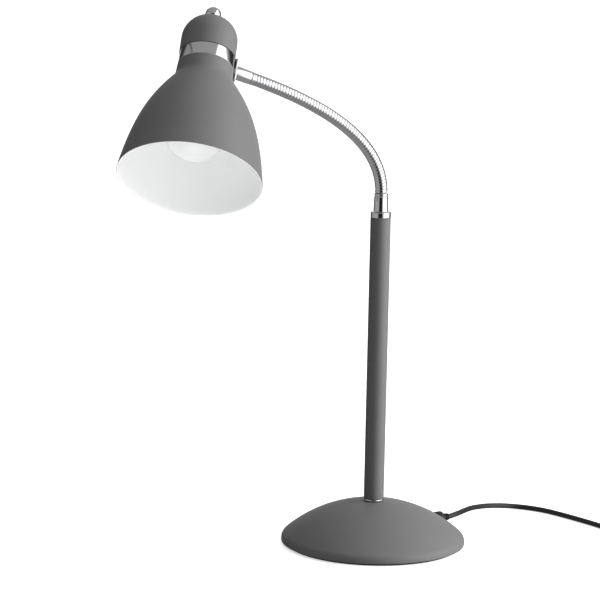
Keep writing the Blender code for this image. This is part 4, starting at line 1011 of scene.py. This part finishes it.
# %% Turn the bulb and its cap
BULB_CAP_RADIUS = 13.1 * MM
BULB_RADIUS = 27.5 * MM
BULB_MIDDLE = -70.4 * MM
cap_top = HOLDER_TOP - 3.4 * MM
cap_bottom = HOLDER_BOTTOM - 3 * MM
threads = []
for k in range(6):
    z = cap_top - (4.0 + 3.1 * k) * MM
    threads += [(BULB_CAP_RADIUS, z), (BULB_CAP_RADIUS - 0.7 * MM, z - 1.55 * MM)]
bulb_cap_line = ([(0, cap_top + 1.6 * MM), (4 * MM, cap_top + 1.6 * MM), (6 * MM, cap_top),
                  (BULB_CAP_RADIUS - 1 * MM, cap_top - 1.5 * MM)] + threads
                 + [(BULB_CAP_RADIUS, cap_bottom), (BULB_CAP_RADIUS - 0.5 * MM, cap_bottom),
                    (BULB_CAP_RADIUS - 1.2 * MM, cap_top - 4.4 * MM), (0, cap_top - 4.4 * MM)])
bulb_cap = lathe("bulb_screw_cap",
                 rounded(bulb_cap_line, [0] + [0.9 * MM] * (len(bulb_cap_line) - 4)
                         + [0.1 * MM] * 2 + [0], 3, False), 48, HEAD, closed=False)
dress(bulb_cap, nickel, "head", "zinc", "bulb_cap")

LEAVE = 42.0                        # degrees up the globe where its neck begins
GLASS = 1.0 * MM
pull = 14 * MM
neck_radius = BULB_CAP_RADIUS - 0.8 * MM
meet = (BULB_RADIUS * math.cos(math.radians(LEAVE)),
        BULB_MIDDLE + BULB_RADIUS * math.sin(math.radians(LEAVE)))
side = bezier((neck_radius, cap_bottom), (neck_radius, cap_bottom - pull),
              (meet[0] - pull * math.sin(math.radians(LEAVE)),
               meet[1] + pull * math.cos(math.radians(LEAVE))), meet, 20)
glass = side + arc(0, BULB_MIDDLE, BULB_RADIUS, LEAVE, -90, 36)[1:]
glass[-1] = (0, BULB_MIDDLE - BULB_RADIUS)
glass_inside = moved_in(glass, GLASS)
glass_inside[-1] = (0, BULB_MIDDLE - BULB_RADIUS + GLASS)
glass = [(neck_radius, cap_bottom + 6 * MM)] + glass
glass_inside = [(neck_radius - GLASS, cap_bottom + 6 * MM)] + glass_inside
bulb = lathe("opal_bulb", glass_inside[::-1] + glass, 80, HEAD, closed=False)
dress(bulb, opal_glass, "head", "glass", "bulb_globe")

# %% [markdown]
# The white inside of the shade faces down, away from every soft box.  A photographer
# lays a small reflector in front of the base for it.  Here that is a weak light which
# only the bell, the bulb and the holder receive.

# %% Light the inside of the shade
shade_fill = soft_box("shade_reflector", head_centre + opening * 0.47, head_centre, 0.30, 0.30,
                      1.45)
shade_fill.visible_camera = False
receivers = bpy.data.collections.new("lit_by_reflector")
for piece in (bell, bulb, skirt, bulb_cap):
    receivers.objects.link(piece)
shade_fill.light_linking.receiver_collection = receivers

# %% [markdown]
# ## The mains cord
#
# The cord is a flexible round lead, about 1.7 m long and 5 mm thick.  It comes straight out of
# a tapered bush in the back of the base, drops to the desk and runs off in an easy
# curve.  A hand switch sits on it, and what is left is wound into a coil of even turns,
# tied, with the plug beside it.  A cord is a tube along a smooth line through a few
# chosen points, and its length is measured, not guessed.

# %% Mark the cord's places, measured from under the bush's mouth
CORD_RADIUS = 2.5 * MM
BUSH_AZIMUTH = math.radians(38.0)
BUSH_HEIGHT = 13.0 * MM
BUSH_LENGTH = 12.0 * MM
bush_out = Vector((math.cos(BUSH_AZIMUTH), math.sin(BUSH_AZIMUTH), 0))
bush_face = math.sqrt(dome_radius ** 2 - (BUSH_HEIGHT - dome_middle) ** 2)
bush_mouth = bush_out * (bush_face + BUSH_LENGTH) + UP * BUSH_HEIGHT
desk_mark = Vector((bush_mouth.x, bush_mouth.y, 0))


def on_desk(point):
    """A place given in millimetres from the point under the bush's mouth."""
    return desk_mark + Vector(point) * MM


LEAD_OUT_ROUTE = [
    (4.9, 4.3, 13.3), (11.4, 13.7, 13.4), (17.4, 25.7, 13.0), (24.4, 39.7, 12.0),
    (32.9, 54.7, 10.0), (42.9, 68.2, 7.8), (54.9, 79.2, 5.6), (68.9, 85.5, 3.7),
    (83.9, 84.2, 2.7), (98.9, 75.2, 2.5), (113.9, 59.7, 2.5), (128.9, 41.7, 2.5),
    (142.9, 23.7, 2.5), (154.9, 6.2, 2.5), (162.4, -10.8, 2.9), (165.9, -26.3, 4.6),
]
SWITCH_START = (167.5, -41.3, 0.0)
SWITCH_HEADING = math.radians(-82.0)
SWITCH_LENGTH = 62.0 * MM
SWITCH_CORD_HEIGHT = 6.8 * MM
RUN_ROUTE = [
    (178.9, -118.3, 4.6), (185.9, -132.3, 2.9), (198.9, -143.3, 2.5), (217.9, -147.3, 2.5),
    (236.9, -140.3, 2.5), (250.9, -124.3, 2.5), (258.4, -104.3, 2.6), (260.5, -82.3, 3.0),
]
RUN_END = (260.4, -55.9, 3.7)
COIL_CENTRE = (227.9, -36.3, 0.0)
TAIL_START = (260.4, -16.7, 9.6)
TAIL_ROUTE = [(260.6, -10.3, 8.3), (261.0, -3.3, 7.1)]
PLUG_START = (261.4, 3.7, 6.8)
PLUG_HEADING = math.radians(87.0)


def heading(angle):
    return Vector((math.cos(angle), math.sin(angle), 0))


print("bush's mouth", [round(v / MM, 1) for v in bush_mouth])


# %% Write the functions that draw a cord
def smooth_path(points, spacing):
    """Evenly spaced points on a smooth curve through the given ones."""
    knots = [2 * points[0] - points[1], *points, 2 * points[-1] - points[-2]]
    fine = [points[0].copy()]
    for i in range(1, len(knots) - 2):
        a, b, c, d = knots[i - 1:i + 3]
        for step in range(1, 13):
            t = step / 12
            fine.append(0.5 * (2 * b + (c - a) * t + (2 * a - 5 * b + 4 * c - d) * t ** 2
                               + (3 * b - a - 3 * c + d) * t ** 3))
    lengths = [0.0]
    for before, after in zip(fine, fine[1:]):
        lengths.append(lengths[-1] + (after - before).length)
    count = max(2, round(lengths[-1] / spacing))
    even = []
    i = 1
    for k in range(count + 1):
        distance = lengths[-1] * k / count
        while i < len(fine) - 1 and lengths[i] < distance:
            i += 1
        even.append(fine[i - 1].lerp(fine[i], (distance - lengths[i - 1])
                                     / (lengths[i] - lengths[i - 1])))
    return even


def path_length(points):
    return sum((b - a).length for a, b in zip(points, points[1:]))


def cord_tube(name, points, radius=CORD_RADIUS, sides=20):
    """A closed tube along the points; each ring keeps its turn from the one before."""
    mesh = bmesh.new()
    rings = []
    side = None
    last = len(points) - 1
    for i, point in enumerate(points):
        along = (points[min(i + 1, last)] - points[max(i - 1, 0)]).normalized()
        if side is None:
            side = along.cross(UP) if abs(along.z) < 0.9 else along.cross(Vector((1, 0, 0)))
        side = (side - along * side.dot(along)).normalized()
        over = along.cross(side)
        angles = [2 * math.pi * k / sides for k in range(sides)]
        rings.append([mesh.verts.new(point + (side * math.cos(a) + over * math.sin(a)) * radius)
                      for a in angles])
    for lower, upper in zip(rings, rings[1:]):
        for k in range(sides):
            mesh.faces.new((lower[k], lower[(k + 1) % sides], upper[(k + 1) % sides], upper[k]))
    mesh.faces.new(rings[0][::-1])
    mesh.faces.new(rings[-1])
    return into_object(name, mesh)


# %% [markdown]
# The lead leaves the bush level, sinks to the desk and arrives at the switch level
# again.  Its first and last two millimetres are kept straight, as they are held there.

# %% Lay the lead to the switch
straight = 2 * MM
switch_along = heading(SWITCH_HEADING)
switch_in = on_desk(SWITCH_START) + UP * SWITCH_CORD_HEIGHT - switch_along * GAP
lead_start = bush_mouth + bush_out * GAP
lead_points = [lead_start] + smooth_path(
    [lead_start + bush_out * straight, *map(on_desk, LEAD_OUT_ROUTE),
     switch_in - switch_along * straight], 4 * MM) + [switch_in]
lead = cord_tube("cord_to_switch", lead_points)
dress(lead, cord_sheath, "base", "cord", "cord_lead")
print(f"lead to the switch {path_length(lead_points):.3f} m")

# %% [markdown]
# The coil is one continuous line of seven turns.  The turns pile up three wide, three
# wide and two wide, and each one slides into the next one's lane during its turn.  The
# last turn slides first, so a lane is always free before the cord arrives there and no
# two turns ever touch.  It starts where the cord arrives from the switch and ends where
# the tail leaves for the plug, so nothing is cut.

# %% Wind the coil
THICK = 2 * CORD_RADIUS
LOW = 3.8 * MM
LANES = [(32.5 * MM, LOW), (27.5 * MM, LOW), (22.5 * MM, LOW), (22.5 * MM, LOW + THICK),
         (22.5 * MM, LOW + 2 * THICK), (27.5 * MM, LOW + 2 * THICK), (27.5 * MM, LOW + THICK),
         (32.5 * MM, LOW + THICK)]
SLIDE = 0.4545                      # share of a turn that one slide takes
SLIDE_START = [0.545, 0.545, 0.409, 0.409, 0.273, 0.136, 0.0]
coil_centre = on_desk(COIL_CENTRE)


def lane_at(turn_number, part):
    """Radius and height of a turn after a part of it has gone round."""
    t = min(max((part - SLIDE_START[turn_number]) / SLIDE, 0), 1)
    t = t * t * (3 - 2 * t)
    (r0, z0), (r1, z1) = LANES[turn_number], LANES[turn_number + 1]
    return r0 + (r1 - r0) * t, z0 + (z1 - z0) * t


def round_coil(radius, height, angle):
    return coil_centre + heading(angle) * radius + UP * height


coil_points = []
COIL_STEPS = 40
for turn_number in range(len(SLIDE_START)):
    for step in range(COIL_STEPS):
        radius, height = lane_at(turn_number, step / COIL_STEPS)
        coil_points.append(round_coil(radius, height, 2 * math.pi * step / COIL_STEPS))
coil_points.append(round_coil(*LANES[-1], 0.0))
print("coil", round(path_length(coil_points), 3), "m in", len(SLIDE_START), "turns")

# %% [markdown]
# The second cord is a single length too: the run from the switch, the coil and the tail
# to the plug are joined into one line before it gets its thickness.

# %% Join the run, the coil and the tail into one cord
run_start = on_desk(SWITCH_START) + UP * SWITCH_CORD_HEIGHT + switch_along * (
    SWITCH_LENGTH + GAP)
onward = heading(PLUG_HEADING)
run_points = smooth_path([run_start + switch_along * straight, *map(on_desk, RUN_ROUTE),
                          on_desk(RUN_END)], 4 * MM)
plug_in = on_desk(PLUG_START) - onward * GAP
tail_points = smooth_path([coil_points[-1], on_desk(TAIL_START), *map(on_desk, TAIL_ROUTE),
                           plug_in - onward * straight], 3 * MM) + [plug_in]
supply_points = [run_start, *run_points, *coil_points, *tail_points[1:]]
supply = cord_tube("cord_to_plug", supply_points)
dress(supply, cord_sheath, "base", "cord", "cord_run", "cord_coil", "cord_tail")
print(f"cord from the switch to the plug {path_length(supply_points):.3f} m")

# %% [markdown]
# A strap holds the coil.  It hugs the bundle, so its outline is the tightest loop
# round the turns that pass under it, and it follows the bundle's bend for its width.

# %% Strap the coil
STRAP_THICKNESS = 0.8 * MM
STRAP_HALF = math.radians(10.5)     # half its width, as an angle at the coil's centre
STRAP_ROOM = 0.25 * MM


def tight_loop(circles, gap):
    """The convex outline round some circles, as points evenly spread by direction."""
    loop = []
    for k in range(96):
        angle = 2 * math.pi * k / 96
        way = Vector((math.cos(angle), math.sin(angle)))
        r, z = max(circles, key=lambda c: way.x * c[0] + way.y * c[1])
        loop.append((r + way.x * (CORD_RADIUS + gap), z + way.y * (CORD_RADIUS + gap)))
    return loop


under_strap = [lane_at(k, 0.5) for k in range(len(SLIDE_START))]
strap_mesh = bmesh.new()
strap_rings = []
for gap, bends in ((STRAP_ROOM, (-1, -0.5, 0, 0.5, 1)),
                   (STRAP_ROOM + STRAP_THICKNESS, (1, 0.93, 0.5, 0, -0.5, -0.93, -1))):
    for bend in bends:
        rounding = 0.25 * MM if abs(bend) == 1 and gap > STRAP_THICKNESS else 0
        loop = tight_loop(under_strap, gap - rounding)
        strap_rings.append([strap_mesh.verts.new(round_coil(r, z, math.pi + bend * STRAP_HALF))
                            for r, z in loop])
for first, second in zip(strap_rings, strap_rings[1:] + strap_rings[:1]):
    for k in range(len(first)):
        following = (k + 1) % len(first)
        strap_mesh.faces.new((first[k], first[following], second[following], second[k]))
strap = into_object("coil_strap", strap_mesh)
dress(strap, black_plastic, "base", "black", "cord_tie")

# %% [markdown]
# Where the cord leaves the base, a soft bush keeps it from kinking on the sheet's edge.
# It is moulded with four rings that let it bend, and a flange that rests on the dome.

# %% Mould the bush where the cord leaves the base
bush_home = (Matrix.Translation(bush_out * bush_face + UP * BUSH_HEIGHT)
             @ bush_out.to_track_quat("Z", "Y").to_matrix().to_4x4())
bush_line = [(0, 12 * MM), (3.3 * MM, 12 * MM)]
for k in range(4):
    far = (11.2 - 1.7 * k) * MM
    radius = (3.3 + 0.23 * k) * MM
    bush_line += [(radius, far), (radius - 0.55 * MM, far - 0.3 * MM),
                  (radius - 0.55 * MM, far - 0.9 * MM), (radius + 0.1 * MM, far - 1.2 * MM)]
bush_line += [(4.3 * MM, 4.8 * MM), (5.5 * MM, 4.6 * MM), (6.5 * MM, 3.4 * MM),
              (6.5 * MM, -2.5 * MM), (4.2 * MM, -2.5 * MM), (4.2 * MM, -8 * MM), (0, -8 * MM)]
bush = lathe("cord_bush", rounded(bush_line, [0] + [0.22 * MM] * (len(bush_line) - 2) + [0], 3,
                                  False), 48, bush_home, closed=False)
dress(bush, black_plastic, "base", "black", "cord_gland")

# %% [markdown]
# The hand switch is a two-part nylon shell, rounded all over so that it sits in the
# palm, with a rocker let into its upper half.  The plug is one moulded body that
# narrows to the cord.  Both are lofts: the plan outline is drawn once and pulled in
# near the top and bottom, which rounds the edges evenly.

# %% Write the loft
def pulled_in(outline, distance):
    """A closed outline moved inwards by a distance; it runs counter-clockwise."""
    count = len(outline)
    result = []
    for i, (x, y) in enumerate(outline):
        before, after = outline[i - 1], outline[(i + 1) % count]
        along = Vector((after[0] - before[0], after[1] - before[1])).normalized()
        result.append((x - along.y * distance, y + along.x * distance))
    return result


def loft(name, outline, low, high, bottom_round, top_round, matrix, steps=6):
    """Stack the outline from low to high, pulled in over quarter circles at both ends."""
    levels = []
    for k in range(steps + 1):
        a = math.pi / 2 * k / steps
        levels.append((bottom_round * (1 - math.sin(a)), low + bottom_round * (1 - math.cos(a))))
    for k in range(steps + 1):
        a = math.pi / 2 * (1 - k / steps)
        levels.append((top_round * (1 - math.sin(a)), high - top_round * (1 - math.cos(a))))
    mesh = bmesh.new()
    rings = [[mesh.verts.new((x, y, z)) for x, y in pulled_in(outline, inset)]
             for inset, z in levels]
    for lower, upper in zip(rings, rings[1:]):
        for k in range(len(lower)):
            following = (k + 1) % len(lower)
            mesh.faces.new((lower[k], lower[following], upper[following], upper[k]))
    mesh.faces.new(rings[0][::-1])
    mesh.faces.new(rings[-1])
    return into_object(name, mesh, matrix)


def cut_out(piece, cutter):
    """Take one closed shape out of another, and leave a plain mesh."""
    modifier = piece.modifiers.new("cut", "BOOLEAN")
    modifier.object = cutter
    modifier.operation = "DIFFERENCE"
    modifier.solver = "EXACT"
    bpy.context.view_layer.update()
    ready = piece.evaluated_get(bpy.context.evaluated_depsgraph_get())
    mesh = bpy.data.meshes.new_from_object(ready)
    piece.modifiers.remove(modifier)
    piece.data = mesh
    bpy.data.objects.remove(cutter, do_unlink=True)
    mesh.set_sharp_from_angle(angle=math.radians(38))


# %% Mould the hand switch
SWITCH_WIDTH = 26.0 * MM
SWITCH_HEIGHT = 17.0 * MM
SWITCH_SPLIT = 8.6 * MM
ROCKER_PIVOT = 10.4 * MM
ROCKER_WIDTH = 9.0 * MM
ROCKER_HALF = 6.0 * MM
switch_home = (Matrix.Translation(on_desk(SWITCH_START) + switch_along * SWITCH_LENGTH / 2)
               @ Matrix.Rotation(SWITCH_HEADING, 4, "Z"))


def switch_plan():
    """A long oval with narrow flat ends, counter-clockwise from the far end's corner."""
    half_length, half_width, end = SWITCH_LENGTH / 2, SWITCH_WIDTH / 2, 5.0 * MM
    flank = bezier((half_length, end), (half_length - 3 * MM, half_width * 0.92),
                   (half_length - 10 * MM, half_width), (half_length * 0.35, half_width), 14)
    mirrored = [(-x, y) for x, y in flank[::-1]]
    upper = flank + mirrored
    return upper + [(-x, -y) for x, y in upper]


lower_half = loft("switch_lower_half", switch_plan(), 0.2 * MM, SWITCH_SPLIT, 3.2 * MM,
                  0.25 * MM, switch_home)
dress(lower_half, black_plastic, "base", "black", "switch_base")
upper_half = loft("switch_upper_half", switch_plan(), SWITCH_SPLIT + GAP, SWITCH_HEIGHT,
                  0.25 * MM, 4.2 * MM, switch_home)
well = loft("rocker_well", rounded_box(2 * (ROCKER_HALF + 2.6 * MM), ROCKER_WIDTH + 1.6 * MM,
                                       1 * MM), SWITCH_SPLIT - 2 * MM, SWITCH_HEIGHT + 4 * MM, 0,
            0, switch_home, 1)
cut_out(upper_half, well)
dress(upper_half, black_plastic, "base", "black", "switch_cover")

# %% [markdown]
# The rocker is a short bar with a hollowed top, seen from the side as a flat outline.
# It is extruded across the switch and tilted to the side that is pressed.

# %% Shape the rocker
ROCKER_TILT = math.radians(7.0)
rocker_top = SWITCH_HEIGHT + 0.8 * MM - ROCKER_PIVOT
rocker_side = [(-ROCKER_HALF, rocker_top), (-ROCKER_HALF - 0.8 * MM, rocker_top - 4 * MM),
               (-ROCKER_HALF * 0.6, -4 * MM), (ROCKER_HALF * 0.6, -4 * MM),
               (ROCKER_HALF + 0.8 * MM, rocker_top - 4 * MM), (ROCKER_HALF, rocker_top),
               (ROCKER_HALF * 0.5, rocker_top - 0.55 * MM), (0, rocker_top - 0.8 * MM),
               (-ROCKER_HALF * 0.5, rocker_top - 0.55 * MM)]
rocker_lie = (switch_home @ Matrix.Translation((0, 0, ROCKER_PIVOT))
              @ Matrix.Rotation(ROCKER_TILT, 4, "Y")
              @ Matrix.Rotation(math.radians(90), 4, "X"))
rocker = plate_piece("rocker_key", rounded(rocker_side, [0.6 * MM] * 2 + [1 * MM] * 2
                                           + [0.6 * MM] * 2 + [0.8 * MM] * 3, 4),
                     -ROCKER_WIDTH / 2, ROCKER_WIDTH / 2, rocker_lie, 0.35 * MM)
dress(rocker, black_plastic, "rocker", "black", "switch_rocker")

# %% [markdown]
# The plug is moulded round the cord and narrows towards it.  Its two pins are turned,
# plated at the tip and sleeved in black near the body, so that no live metal shows
# while it is only half plugged in.

# %% Mould the plug
PLUG_LENGTH = 36.0 * MM
PLUG_WIDTH = 34.0 * MM
PLUG_THICKNESS = 13.6 * MM
PLUG_CORD_END = 9.0 * MM
plug_home = (Matrix.Translation(on_desk(PLUG_START))
             @ Matrix.Rotation(PLUG_HEADING, 4, "Z"))
half_plug = [(0, PLUG_CORD_END / 2), (PLUG_LENGTH * 0.30, PLUG_CORD_END / 2 + 1.5 * MM),
             (PLUG_LENGTH * 0.62, PLUG_WIDTH / 2 - 1 * MM), (PLUG_LENGTH * 0.72, PLUG_WIDTH / 2),
             (PLUG_LENGTH, PLUG_WIDTH / 2 - 3 * MM)]
plug_plan = [(x, -y) for x, y in half_plug] + half_plug[::-1]
plug_cuts = [1.5 * MM, 8 * MM, 6 * MM, 4 * MM, 3 * MM]
plug_plan = rounded(plug_plan, plug_cuts + plug_cuts[::-1], 8)
plug = loft("plug_moulding", plug_plan, -PLUG_THICKNESS / 2 + 0.2 * MM,
            PLUG_THICKNESS / 2 - 0.2 * MM, 3.0 * MM, 3.0 * MM, plug_home)
dress(plug, black_plastic, "base", "black", "plug_body")

# %% Turn the plug's pins
PIN_RADIUS = 2.0 * MM
PIN_LENGTH = 19.0 * MM
PIN_PITCH = 18.6 * MM
SLEEVED = 10 * MM                   # how far up the pin its sleeve reaches
for number, side_sign in ((1, -1), (2, 1)):
    pin_home = (plug_home @ Matrix.Translation((PLUG_LENGTH + GAP,
                                                side_sign * PIN_PITCH / 2, 0))
                @ Matrix.Rotation(math.radians(90), 4, "Y"))
    pin_line = [(0, PIN_LENGTH), (PIN_RADIUS - 0.1 * MM, PIN_LENGTH),
                (PIN_RADIUS - 0.1 * MM, SLEEVED), (PIN_RADIUS, SLEEVED - 0.2 * MM),
                (PIN_RADIUS, 0), (0, 0)]
    pin = lathe(f"plug_contact_pin_{number}",
                rounded(pin_line, [0, 1.7 * MM, 0.05 * MM, 0.15 * MM, 0.1 * MM, 0], 6, False), 32,
                pin_home, closed=False)
    pin.data.materials.append(nickel)
    pin.data.materials.append(black_plastic)
    outside = pin_home.inverted()
    for polygon in pin.data.polygons:
        sleeve = (outside @ polygon.center).z < SLEEVED - 0.15 * MM
        polygon.material_index = 1 if sleeve else 0
    dress(pin, nickel, "base", "chrome", f"plug_pin_{number}")

# %% [markdown]
# The cords are loose things that whoever uses the lamp may lay in another way.  Their
# whole length is added up and printed.

print(f"whole cord {path_length(lead_points) + path_length(supply_points):.3f} m")

# %% [markdown]
# ## The pieces inside
#
# The skeleton also brings the pieces nobody sees at first: the iron weight, the threaded
# tube, nuts, sleeves and contacts, and the thin wires.  Their shapes are right already,
# so they only get the finish that their material slot asks for.

# %% Finish the inner pieces
INNER_FINISHES = {
    "grey_paint": grey_coat, "chrome": chrome, "zinc": zinc, "iron": iron, "foam": foam,
    "black": black_plastic, "cord": cord_sheath, "brass": brass, "ceramic": porcelain,
    "glass": opal_glass,
}
dressed = 0
for name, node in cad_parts.items():
    for holder in node.material_slots:
        slot_name = holder.material.name.split(".")[0]
        holder.material = INNER_FINISHES[slot_name]
        dressed += 1
print(dressed, "skeleton pieces given a finish")
